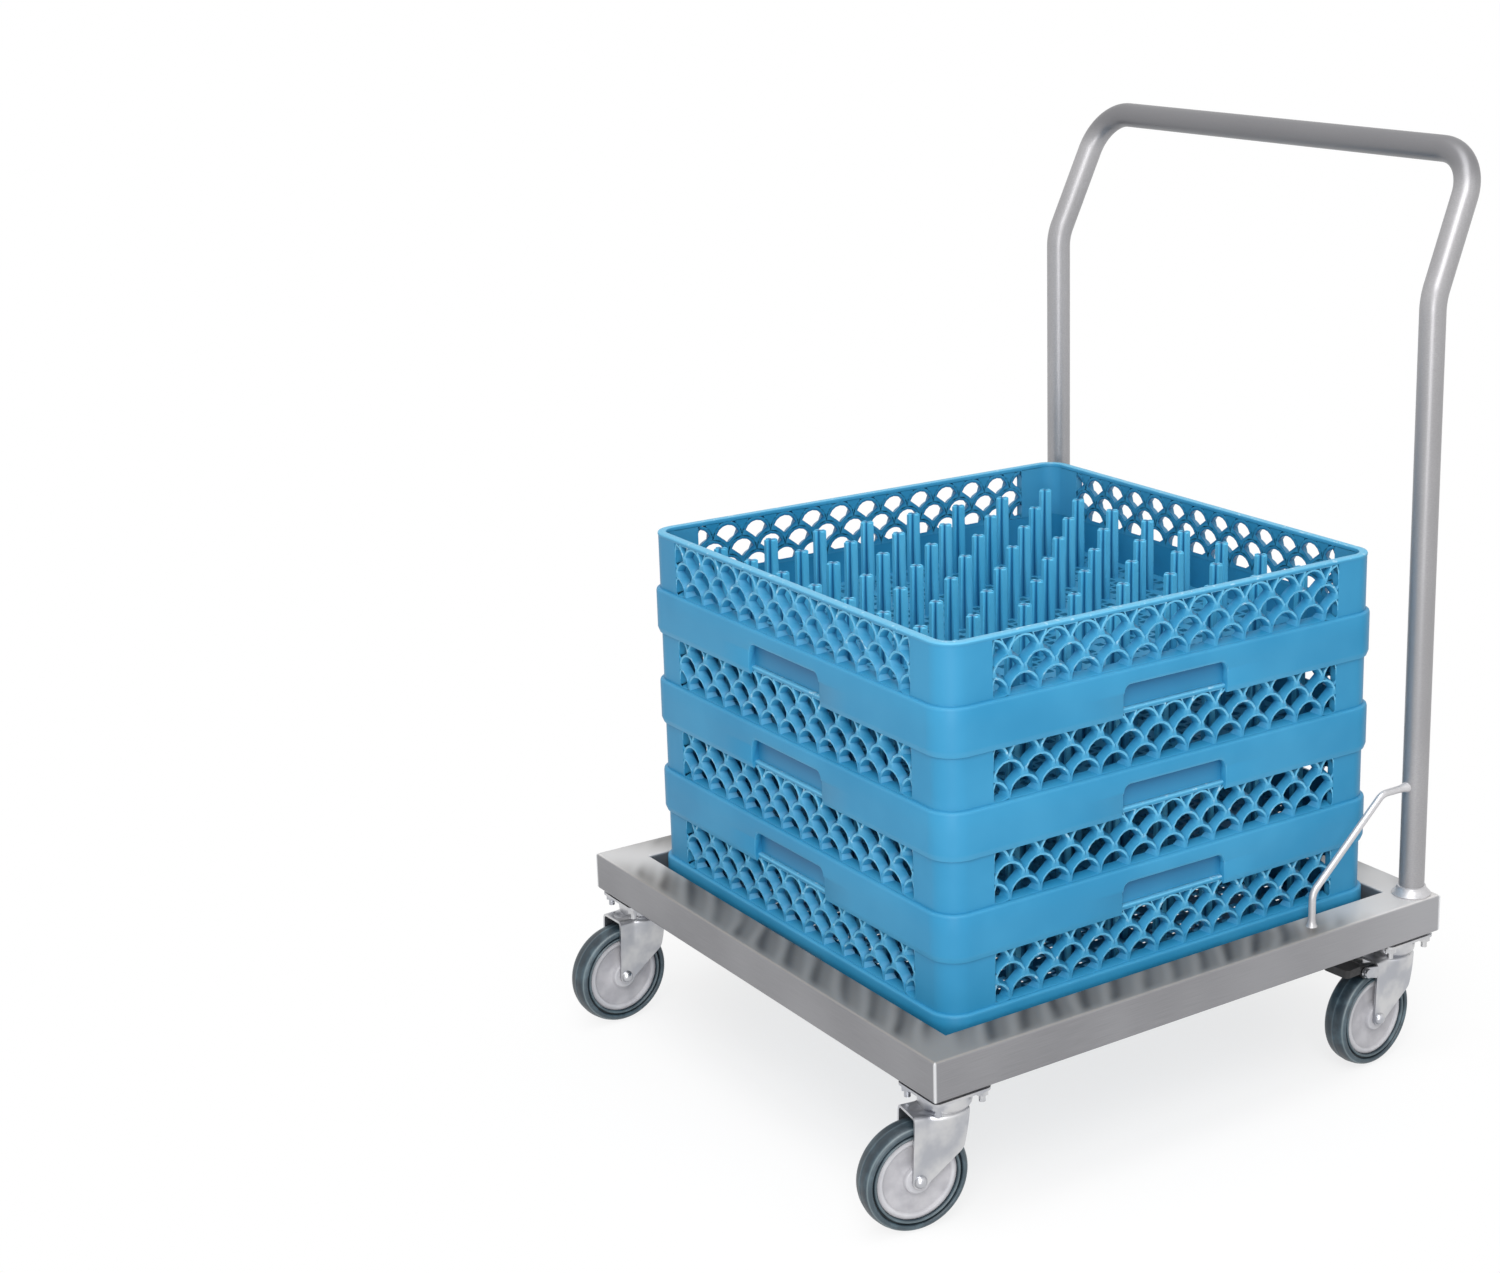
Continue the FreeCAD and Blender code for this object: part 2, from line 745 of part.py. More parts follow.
rail = make_front_rail()
for node, turn in (("front_rail", 0), ("right_rail", 90), ("rear_rail", 180), ("left_rail", 270)):
    save(rail.rotated(Vector(), up, turn), node)

gusset = make_gusset()
for corner, turn in (("rear_right", 0), ("rear_left", 90), ("front_left", 180), ("front_right", 270)):
    save(gusset.rotated(Vector(), up, turn), corner + "_gusset")

save(make_handle(), "push_handle")
save(make_collars(), "handle_collars")
rod = make_retaining_rod()
save(rod, "right_retaining_rod")
save(rod.mirror(Vector(), Vector(1, 0, 0)), "left_retaining_rod")

castor_plate = make_castor_plate()
forks = {"front": make_fork(False), "rear": make_fork(True)}
fork_pieces = {
    "axle_bolt": make_axle_bolt(),
    "axle_nut": make_axle_nut(),
    "bush": make_bush(),
    "wheel": make_wheel(),
    "tyre": make_tyre(),
}
brake_pieces = {"brake_pin": make_brake_pin(), "brake_pedal": make_brake_pedal()}
fixed_groups = {
    "kingpins": [make_kingpin()],
    "swivel_balls": make_balls(),
    "castor_studs": make_studs(),
    "castor_nuts": make_stud_nuts(),
}
for corner in corners:
    end = corner.split("_")[0]
    save(square_to_frame(castor_plate, corner), corner + "_castor_plate")
    save(at_corner(forks[end], corner), corner + "_fork")
    for name, piece in fork_pieces.items():
        save(at_corner(piece, corner), corner + "_" + name)
    if end == "rear":
        for name, piece in brake_pieces.items():
            save(at_corner(piece, corner), corner + "_" + name)
for node, pieces in fixed_groups.items():
    save(Part.makeCompound([square_to_frame(p, corner) for corner in corners for p in pieces]), node)

basket_pieces = {
    "": make_basket_frame(),
    "_lattice": make_lattice(),
    "_base": Part.makeCompound([make_base_grid()] + make_pegs()),
}
for level in range(basket_count):
    lift = up * (basket_bottom + level * basket_pitch)
    for ending, piece in basket_pieces.items():
        save(piece.translated(lift), "basket_%d%s" % (level + 1, ending))
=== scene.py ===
import json
import bmesh
import bpy
import numpy as np
from mathutils import Matrix, Vector


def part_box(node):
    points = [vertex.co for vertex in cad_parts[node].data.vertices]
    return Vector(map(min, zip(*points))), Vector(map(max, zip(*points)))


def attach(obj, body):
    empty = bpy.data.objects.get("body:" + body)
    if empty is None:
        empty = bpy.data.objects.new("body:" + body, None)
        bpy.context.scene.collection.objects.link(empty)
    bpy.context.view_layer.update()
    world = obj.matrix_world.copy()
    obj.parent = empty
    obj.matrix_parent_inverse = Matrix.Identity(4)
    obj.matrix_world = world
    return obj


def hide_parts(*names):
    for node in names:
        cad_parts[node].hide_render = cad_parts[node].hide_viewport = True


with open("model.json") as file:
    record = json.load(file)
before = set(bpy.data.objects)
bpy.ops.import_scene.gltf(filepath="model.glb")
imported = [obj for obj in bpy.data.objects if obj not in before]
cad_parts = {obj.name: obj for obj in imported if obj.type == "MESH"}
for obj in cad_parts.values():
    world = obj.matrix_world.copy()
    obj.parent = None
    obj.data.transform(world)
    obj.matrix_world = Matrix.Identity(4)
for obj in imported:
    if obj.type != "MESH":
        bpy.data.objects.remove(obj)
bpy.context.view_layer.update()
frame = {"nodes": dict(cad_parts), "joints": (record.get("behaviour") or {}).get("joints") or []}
scene = bpy.context.scene
scene.view_settings.view_transform = "Standard"
joints = {joint["name"]: joint for joint in frame["joints"]}


# Surfaces are worked out in millimetres, and addPiece turns them to metres

def unit(vectors):
    return vectors / np.linalg.norm(vectors, axis=-1, keepdims=True)


def soft(value):
    # 0 to 1 with soft ends
    share = np.clip(value, 0, 1)
    return share * share * (3 - 2 * share)


def boxOf(node):
    low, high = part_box(node)
    return np.array(low) * 1000, np.array(high) * 1000


def gridFaces(rows, columns, closeRows=False, closeColumns=False):
    # a quad between neighbouring rows and columns, and across the seam of a closed side
    row, column = np.meshgrid(np.arange(rows if closeRows else rows - 1),
                              np.arange(columns if closeColumns else columns - 1), indexing="ij")
    nextRow, nextColumn = (row + 1) % rows, (column + 1) % columns
    corners = [row * columns + column, nextRow * columns + column,
               nextRow * columns + nextColumn, row * columns + nextColumn]
    return np.stack(corners, -1).reshape(-1, 4)


def gridShell(points, closeRows=False, closeColumns=False, capRows=False, wearAndShading=0.0):
    # points is rows x columns x 3; capRows closes the first and the last row with a face
    rows, columns = points.shape[:2]
    faces = [gridFaces(rows, columns, closeRows, closeColumns)]
    if capRows:
        ring = np.arange(columns)
        faces.append(np.stack([ring[::-1], ring + (rows - 1) * columns]))
    return points.reshape(-1, 3), faces, np.broadcast_to(wearAndShading, (rows, columns)).ravel()


def repeatShell(points, places, closeRows=False, closeColumns=False, capRows=False, wearAndShading=0.0):
    # one small surface set down at many places
    shape, faces, values = gridShell(points, closeRows, closeColumns, capRows, wearAndShading)
    count = len(places)
    starts = np.arange(count)[:, None, None] * len(shape)
    every = (places[:, None] + shape).reshape(-1, 3)
    return every, [(group + starts).reshape(-1, group.shape[1]) for group in faces], np.tile(values, count)


def lathe(profile, segments=64, closed=False, wearAndShading=0.0):
    # each profile point (along, radius) is carried round the Z axis
    along, radius = np.array(profile, float).T
    angle = np.linspace(0, 2 * np.pi, segments, endpoint=False)
    points = np.stack([np.outer(radius, np.cos(angle)), np.outer(radius, np.sin(angle)),
                       np.repeat(along[:, None], segments, 1)], -1)
    return gridShell(points, closed, True, not closed, wearAndShading)


def tube(path, radius, sides, reference):
    # a ring of the given radius stands square to the path at each of its points
    ahead = unit(np.gradient(path, axis=0))
    side = unit(np.cross(ahead, reference))
    lift = np.cross(side, ahead)
    angle = np.linspace(0, 2 * np.pi, sides, endpoint=False)[:, None]
    ring = np.cos(angle) * side[:, None] + np.sin(angle) * lift[:, None]
    size = np.broadcast_to(radius, len(path))[:, None, None]
    return gridShell(path[:, None] + size * ring, False, True, True)


def roundedPath(corners, radii, steps=14):
    # straight runs joined by arcs that touch both of them
    corners = np.array(corners, float)
    parts = [corners[:1]]
    for before, corner, after, radius in zip(corners, corners[1:], corners[2:], radii):
        back, onward = unit(before - corner), unit(after - corner)
        half = np.arccos(back @ onward) / 2
        centre = corner + unit(back + onward) * radius / np.sin(half)
        start = corner + back * radius / np.tan(half) - centre
        turn = np.linspace(0, np.pi - 2 * half, steps)[:, None]
        parts.append(centre + start * np.cos(turn) - back * radius * np.sin(turn))
    return np.concatenate(parts + [corners[-1:]])


def changed(shell, change):
    return change(shell[0]), shell[1], shell[2]


quarters = ((1, 0), (0, 1), (-1, 0), (0, -1))  # cosine and sine of each quarter turn


def quarterTurns(shell):
    # the same shell on all four sides
    turns = []
    for cosine, sine in quarters:
        turn = np.array([[cosine, sine, 0], [-sine, cosine, 0], [0, 0, 1]])
        turns.append(changed(shell, lambda points: points @ turn))
    return turns


def addPiece(name, shells, material, body, replaced=(), sharp=35):
    # joins closed shells to one mesh, with the faces outwards and the seams under the sharp angle smooth
    starts = np.cumsum([0] + [len(shell[0]) for shell in shells])
    points = np.concatenate([shell[0] for shell in shells]) * 0.001
    groups = [group + start for shell, start in zip(shells, starts) for group in shell[1]]
    corners = np.concatenate([group.ravel() for group in groups]).astype(np.int32)
    sizes = np.concatenate([np.full(len(group), group.shape[1]) for group in groups])
    firsts = np.concatenate([[0], np.cumsum(sizes)[:-1]]).astype(np.int32)
    mesh = bpy.data.meshes.new(name)
    mesh.vertices.add(len(points))
    mesh.vertices.foreach_set("co", points.ravel())
    mesh.loops.add(len(corners))
    mesh.loops.foreach_set("vertex_index", corners)
    mesh.polygons.add(len(sizes))
    mesh.polygons.foreach_set("loop_start", firsts)
    mesh.update(calc_edges=True)
    # a vertex attribute for real wear and for painted light: values above 0 pale a surface as painted
    # highlight, with worn nicks on some edges, and values below 0 darken it as painted shade
    wornAndShaded = mesh.attributes.new("wearAndShading", "FLOAT", "POINT")
    wornAndShaded.data.foreach_set("value", np.concatenate([shell[2] for shell in shells]).astype(np.float32))
    surface = bmesh.new()
    surface.from_mesh(mesh)
    bmesh.ops.recalc_face_normals(surface, faces=surface.faces)
    surface.to_mesh(mesh)
    surface.free()
    mesh.polygons.foreach_set("use_smooth", np.ones(len(sizes), bool))
    mesh.set_sharp_from_angle(angle=np.radians(sharp))
    mesh.materials.append(material)
    piece = bpy.data.objects.new(name, mesh)
    scene.collection.objects.link(piece)
    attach(piece, body)
    if replaced:
        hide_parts(*replaced)
    return piece


# Materials

grainDepth = 0.0003  # metres, for the bump of scratches and grain


class Link:
    # wraps a socket, so that shader maths reads as an expression
    def __init__(self, tree, socket=None):
        self.tree, self.socket = tree, socket

    def node(self, kind, settings=None, inputs=None, output=0):
        made = self.tree.nodes.new(kind)
        for key, value in (settings or {}).items():
            setattr(made, key, value)
        for key, value in (inputs or {}).items():
            if isinstance(value, Link):
                self.tree.links.new(value.socket, made.inputs[key])
            else:
                made.inputs[key].default_value = value
        return Link(self.tree, made.outputs[output])

    def math(self, operation, first, second=0.0):
        return self.node("ShaderNodeMath", {"operation": operation}, {0: first, 1: second})

    def __add__(self, other):
        return self.math("ADD", self, other)

    def __sub__(self, other):
        return self.math("SUBTRACT", self, other)

    def __rsub__(self, other):
        return self.math("SUBTRACT", other, self)

    def __mul__(self, other):
        return self.math("MULTIPLY", self, other)

    __radd__ = __add__
    __rmul__ = __mul__

    def size(self):
        return self.math("ABSOLUTE", self)

    def sine(self):
        return self.math("SINE", self)

    def least(self, other):
        return self.math("MINIMUM", self, other)

    def most(self, other):
        return self.math("MAXIMUM", self, other)

    def noise(self, scale, detail=2.0, stretch=(1.0, 1.0, 1.0)):
        spot = self.node("ShaderNodeMapping", inputs={"Vector": self, "Scale": stretch})
        return self.node("ShaderNodeTexNoise", inputs={"Vector": spot, "Scale": scale, "Detail": detail})

    def step(self, low, high):
        return self.node("ShaderNodeMapRange", {"interpolation_type": "SMOOTHSTEP"},
                         {"Value": self, "From Min": low, "From Max": high})

    def mix(self, first, second):
        return self.node("ShaderNodeMix", {"data_type": "RGBA"}, {0: self, 6: first, 7: second}, 2)

    def bump(self, strength):
        return self.node("ShaderNodeBump", inputs={"Height": self, "Strength": strength,
                                                   "Distance": grainDepth})


def tone(red, green, blue):
    # a colour as a paint program shows it, turned to the linear values that the shader takes
    share = np.array([red, green, blue]) / 255
    linear = np.where(share <= 0.04045, share / 12.92, ((share + 0.055) / 1.055) ** 2.4)
    return (*linear.tolist(), 1.0)


def startMaterial(name, **constants):
    material = bpy.data.materials.new(name)
    material.use_nodes = True
    tree = material.node_tree
    shader = tree.nodes["Principled BSDF"]
    for key, value in constants.items():
        shader.inputs[key].default_value = value
    place = Link(tree).node("ShaderNodeTexCoord", output="Object")
    return material, shader, place


def feed(shader, sockets):
    for key, link in sockets.items():
        link.tree.links.new(link.socket, shader.inputs[key])


def wearAndShadingOf(place):
    # reads the vertex attribute of real wear and painted light and shade
    return place.node("ShaderNodeAttribute", {"attribute_name": "wearAndShading"}, output="Fac")


def axesOf(place):
    return [place.node("ShaderNodeSeparateXYZ", inputs={"Vector": place}, output=axis) for axis in range(3)]


railLook = dict(top=(0.1664, 0.1678), cornerGlint=(0.2972, 0.2992), outerEdge=(0.288, 0.302), corner=(0.22, 0.28),
                bandPitch=0.027, bandAcross=0.6, bandAlong=0.8, bandDrift=7.0, rear=(0.05, 0.3),
                rearSheen=0.4, paleWidth=0.11, paleExtra=0.06, paleFull=0.2)


def brushedSteel(name, alongX):
    # fine scratches along the rail, slow cloudy patches, a painted highlight down the outer corners, sides in
    # painted sheen that grows paler towards the rear, and a duller top with painted reflections as dark bands
    # across it and painted sheen at two opposite corners of the frame
    material, shader, place = startMaterial(name)
    scratch = place.noise(1.0, 3.0, (30.0, 1500.0, 1500.0) if alongX else (1500.0, 30.0, 1500.0))
    cloud = place.noise(7.0, 2.0)
    x, y, z = axesOf(place)
    along, aside = (x, y.size()) if alongX else (y, x.size())
    # painted highlight: a near-white line down the frame's outer vertical corners
    cornerGlint = x.size().least(y.size()).step(*railLook["cornerGlint"])
    top = z.step(*railLook["top"])
    shade = (scratch * 0.35 + cloud * 0.65).step(0.3, 0.7)
    # painted reflection: dark slanted bands across the top, fading at the outer edge and at the corners
    slant = x * railLook["bandAcross"] + y * railLook["bandAlong"]
    phase = slant * (2 * np.pi / railLook["bandPitch"]) + cloud * railLook["bandDrift"]
    wave = phase.sine() * 0.42 + (phase * 2).sine() * 0.17 + 0.5
    # painted sheen: the top is paler at two opposite corners of the frame, wider towards the rear right
    widen = (x + y).step(0.0, railLook["paleFull"]) * railLook["paleExtra"]
    paleSheen = 1 - ((x - y).size() - widen).step(0.0, railLook["paleWidth"])
    bandReflection = wave * (1 - aside.step(*railLook["outerEdge"])) * (1 - along.size().step(*railLook["corner"]))
    bandReflection = bandReflection * (1 - paleSheen) * (cloud.step(0.3, 0.6) * 0.5 + 0.5)
    colour = shade.mix(tone(130, 130, 133), tone(148, 148, 151))
    # painted sheen: the rail turns paler towards the rear
    colour = (y.step(*railLook["rear"]) * railLook["rearSheen"]).mix(colour, tone(190, 190, 193))
    # the duller top's colour, carrying the painted sheen and the painted reflection bands
    matt = bandReflection.mix(paleSheen.mix(tone(140, 137, 134), tone(206, 204, 203)), tone(80, 77, 75))
    colour = top.mix(colour, matt)
    colour = (cornerGlint * 0.8).mix(colour, tone(232, 233, 235))
    feed(shader, {"Base Color": colour, "Metallic": 0.7 - top * 0.5,
                  "Roughness": scratch * 0.12 + cloud * 0.1 + 0.36, "Normal": scratch.bump(0.06)})
    return material


barShadeLevels = (0.84, 0.875)  # metres above the floor, between which the tube turns to the push bar's painted shade


def satinTube(name, deep, light):
    # satin steel: very fine scratches, slightly smoky patches, and painted shade that makes the push bar
    # darker
    material, shader, place = startMaterial(name, Metallic=0.5)
    scratch = place.noise(1.0, 2.0, (500.0, 500.0, 1800.0))
    cloud = place.noise(5.0, 2.0)
    barShade = axesOf(place)[2].step(*barShadeLevels)
    colour = (scratch * 0.4 + cloud * 0.6).step(0.3, 0.72).mix(deep, light)
    # painted shade: the tube is painted a darker grey along the push bar
    colour = (barShade * 0.8).mix(colour, tone(106, 106, 109))
    feed(shader, {"Base Color": colour, "Roughness": scratch * 0.12 + cloud * 0.08 + 0.28,
                  "Normal": scratch.bump(0.04)})
    return material


def zincPlate(name):
    # bright plating with faint bluish and yellowish clouds and a fine pressed grain
    material, shader, place = startMaterial(name, Metallic=1.0)
    cloud = place.noise(38.0, 3.0)
    grain = place.noise(900.0, 2.0)
    colour = cloud.step(0.35, 0.68).mix(tone(176, 178, 184), tone(206, 206, 207))
    feed(shader, {"Base Color": colour, "Roughness": cloud * 0.16 + grain * 0.08 + 0.24,
                  "Normal": grain.bump(0.05)})
    return material


def polishedBalls(name):
    material, shader, place = startMaterial(name, Metallic=1.0)
    smear = place.noise(160.0, 2.0)
    feed(shader, {"Base Color": smear.mix(tone(206, 208, 212), tone(232, 232, 232)),
                  "Roughness": smear * 0.14 + 0.05})
    return material


def wheelPlastic(name):
    # light grey moulded disc with a painted highlight on its raised rings and a little dust
    material, shader, place = startMaterial(name, **{"Specular IOR Level": 0.35})
    dust = place.noise(55.0, 4.0)
    grain = place.noise(1400.0, 2.0)
    colour = dust.step(0.32, 0.7).mix(tone(156, 155, 160), tone(176, 175, 179))
    # painted highlight: paler on the hub's edge and on the raised ring next to the tyre
    colour = (wearAndShadingOf(place) * 0.6).mix(colour, tone(216, 218, 221))
    feed(shader, {"Base Color": colour, "Roughness": dust * 0.2 + 0.28, "Normal": grain.bump(0.06)})
    return material


def tyreRubber(name):
    # dark blue-grey rubber, greyer where it is dusty, with a paler mould line, a painted highlight on the
    # bead and painted shade in the grooves
    material, shader, place = startMaterial(name)
    dust = place.noise(70.0, 4.0)
    grain = place.noise(1100.0, 2.0)
    wearAndShading = wearAndShadingOf(place)
    colour = dust.step(0.42, 0.78).mix(tone(40, 56, 66), tone(72, 92, 102))
    # paler above 0: the mould line, and a painted highlight on the bead
    colour = (wearAndShading.most(0.0) * 0.7).mix(colour, tone(132, 146, 150))
    # painted shade below 0: darker in the grooves beside the bead and a little across the tread
    colour = (wearAndShading * -1.0).most(0.0).mix(colour, tone(14, 18, 22))
    feed(shader, {"Base Color": colour, "Roughness": dust * 0.25 + 0.3, "Normal": grain.bump(0.1)})
    return material


def pedalPlastic(name):
    material, shader, place = startMaterial(name)
    scuff = place.noise(120.0, 4.0)
    grain = place.noise(1300.0, 2.0)
    feed(shader, {"Base Color": scuff.step(0.5, 0.85).mix(tone(21, 21, 23), tone(48, 48, 51)),
                  "Roughness": scuff * 0.3 + 0.3, "Normal": grain.bump(0.15)})
    return material


def basketPlastic(name, deep, light):
    # blue plastic that changes slowly in depth, with painted shade in the hollows, painted highlights on the
    # crests and edges, and whitish nicks on worn edges
    material, shader, place = startMaterial(name, **{"Specular IOR Level": 0.3})
    cloud = place.noise(9.0, 3.0)
    grain = place.noise(1200.0, 2.0)
    nick = place.noise(150.0, 4.0)
    wearAndShading = wearAndShadingOf(place)
    # edge picks the highest values: the crests and the rim's top
    edge = wearAndShading.step(0.72, 0.98)
    colour = cloud.step(0.3, 0.7).mix(deep, light)
    # painted shade: darker blue where the values are below 0, in hollows, grooves, the notch and on the
    # grille
    colour = (wearAndShading * -1.0).most(0.0).mix(colour, tone(12, 82, 128))
    # painted highlight: paler where the values are above 0, most of all on the crests
    colour = (wearAndShading.most(0.0) * 0.25).mix(colour, tone(108, 190, 226))
    colour = (edge * 0.42).mix(colour, tone(124, 200, 230))
    # real wear: whitish nicks on those edges
    colour = (edge * nick.step(0.6, 0.7) * 0.5).mix(colour, tone(196, 222, 232))
    feed(shader, {"Base Color": colour, "Roughness": cloud * 0.12 + grain * 0.08 + 0.34,
                  "Normal": grain.bump(0.08)})
    return material


railX = brushedSteel("rail_steel_across", True)
railY = brushedSteel("rail_steel_along", False)
tubeSteel = satinTube("satin_tube", tone(148, 147, 149), tone(172, 171, 173))
rodSteel = satinTube("satin_rod", tone(186, 185, 187), tone(210, 209, 211))
zincSteel = zincPlate("zinc_plate")
ballSteel = polishedBalls("polished_balls")
wheelGrey = wheelPlastic("wheel_plastic")
tyreDark = tyreRubber("tyre_rubber")
pedalBlack = pedalPlastic("pedal_plastic")
basketBlue = basketPlastic("basket_plastic", tone(38, 128, 171), tone(52, 139, 181))
# the same plastic in lighter tones for the pegs and the grille: painted light inside the basket
pegBlueLit = basketPlastic("peg_plastic_lit", tone(72, 172, 214), tone(90, 186, 225))
print("materials made")


# Camera, floor and light

camera = dict(place=(1.8853, -1.3937, 1.1162), ahead=(-0.77256, 0.58021, -0.25789), roll=-0.268, lens=60.55,
              shift=(-0.1833, -0.051))


def placeCamera():
    spot, ahead = Vector(camera["place"]), Vector(camera["ahead"])
    turn = ahead.to_track_quat("-Z", "Y").to_matrix() @ Matrix.Rotation(np.radians(camera["roll"]), 3, "Z")
    data = bpy.data.cameras.new("camera")
    data.lens = camera["lens"]
    data.shift_x, data.shift_y = camera["shift"]
    seen = bpy.data.objects.new("camera", data)
    seen.matrix_world = Matrix.Translation(spot) @ turn.to_4x4()
    scene.collection.objects.link(seen)
    scene.camera = seen


studio = dict(floorHalf=6.0, fadeFrom=0.25, fadeTo=0.6, nearWhite=0.75, floor=tone(243, 243, 243), fill=0.45,
              aim=(0.0, 0.0, 0.4))
lamps = {  # place, side in metres, watts
    "key": ((2.97, -2.23, 3.66), 2.35, 125.0),
    "low": ((2.5, -1.9, 0.6), 1.0, 24.0),
    "side": ((3.0, 0.9, 2.4), 1.6, 5.0),
    "top": ((0.5, -0.5, 3.4), 1.8, 42.0),
}


def whiteRays(tree):
    # 1 for the rays that may see the plain background: camera, glossy and transmission
    rays = [Link(tree).node("ShaderNodeLightPath", output=kind)
            for kind in ("Is Camera Ray", "Is Glossy Ray", "Is Transmission Ray")]
    return rays[0].most(rays[1]).most(rays[2])


def addFloor():
    half = studio["floorHalf"]
    mesh = bpy.data.meshes.new("floor")
    corners = [(-half, -half, 0), (half, -half, 0), (half, half, 0), (-half, half, 0)]
    mesh.from_pydata(corners, [], [(0, 1, 2, 3)])
    material = bpy.data.materials.new("floor")
    material.use_nodes = True
    tree = material.node_tree
    tree.nodes.remove(tree.nodes["Principled BSDF"])
    place = Link(tree).node("ShaderNodeTexCoord", output="Object")
    away = place.node("ShaderNodeVectorMath", {"operation": "LENGTH"}, {0: place}, "Value")
    fade = away.step(studio["fadeFrom"], studio["fadeTo"]) * (1 - studio["nearWhite"]) + studio["nearWhite"]
    matt = place.node("ShaderNodeBsdfDiffuse", inputs={"Color": studio["floor"]})
    white = place.node("ShaderNodeEmission", inputs={"Strength": 1.0})
    both = place.node("ShaderNodeMixShader", inputs={0: fade * whiteRays(tree), 1: matt, 2: white})
    tree.links.new(both.socket, tree.nodes["Material Output"].inputs["Surface"])
    mesh.materials.append(material)
    floor = bpy.data.objects.new("floor", mesh)
    scene.collection.objects.link(floor)


def addLight():
    world = bpy.data.worlds.new("studio")
    world.use_nodes = True
    tree = world.node_tree
    level = whiteRays(tree) * (1 - studio["fill"]) + studio["fill"]
    glow = tree.nodes["Background"]
    glow.inputs["Color"].default_value = (1, 1, 1, 1)
    tree.links.new(level.socket, glow.inputs["Strength"])
    scene.world = world
    for name, (spot, side, watts) in lamps.items():
        data = bpy.data.lights.new(name, "AREA")
        data.shape = "SQUARE"
        data.size = side
        data.energy = watts
        ahead = Vector(studio["aim"]) - Vector(spot)
        lamp = bpy.data.objects.new(name, data)
        lamp.matrix_world = Matrix.Translation(spot) @ ahead.to_track_quat("-Z", "Y").to_matrix().to_4x4()
        scene.collection.objects.link(lamp)


placeCamera()
addFloor()
addLight()
print("camera, floor and light set")


# Baskets: a ring for the skirt, a ring for the rim, four posts, and four panels of scale-shaped cells

basket = dict(half=250.0, corner=24.0, wall=8.0, height=101.0, rim=4.0, windowHalf=200.0,
              skirt=45.0, proud=4.0, lip=3.0, shelf=8.3, chamfer=5.0, seam=0.4, notchHalf=60.0, notchTop=30.0,
              notchRound=8.0, notchEdge=0.7, notchSoft=1.8, recess=3.0)
# painted light as wear values: painted shade on the notch's face, darkest at its top, a painted highlight
# along the notch's edge, paler inner faces of the posts, and painted shade on the grille's bars
basketShading = dict(notchFace=-0.25, notchTop=-0.75, notchEdge=0.9, postInside=0.7, grille=-0.55)
cornerBend = np.radians(np.linspace(-90, 0, 11))  # directions round a corner, from one side to the next


def wallStations(straight):
    # points along one side and round the corner after it, turned four times: place, outward direction, along
    inner = basket["half"] - basket["corner"]
    bend = cornerBend[1:-1]
    spoke = np.stack([np.cos(bend), np.sin(bend)], 1)
    place = np.concatenate([np.stack([straight, np.full(len(straight), -basket["half"])], 1),
                            np.array([inner, -inner]) + basket["corner"] * spoke])
    outward = np.concatenate([np.tile([0.0, -1.0], (len(straight), 1)), spoke])
    along = np.concatenate([straight, np.full(len(bend), inner)])
    turns = [np.array([[cosine, sine], [-sine, cosine]]) for cosine, sine in quarters]
    return (np.concatenate([place @ turn for turn in turns]),
            np.concatenate([outward @ turn for turn in turns]), np.tile(along, 4))


def ringShell(place, outward, offset, level, wearAndShading):
    # section points (offset outwards, level) at every station, closed both ways
    flat = place + offset[..., None] * outward
    level = np.broadcast_to(level, offset.shape)
    return gridShell(np.concatenate([flat, level[..., None]], -1), True, True, False, wearAndShading)


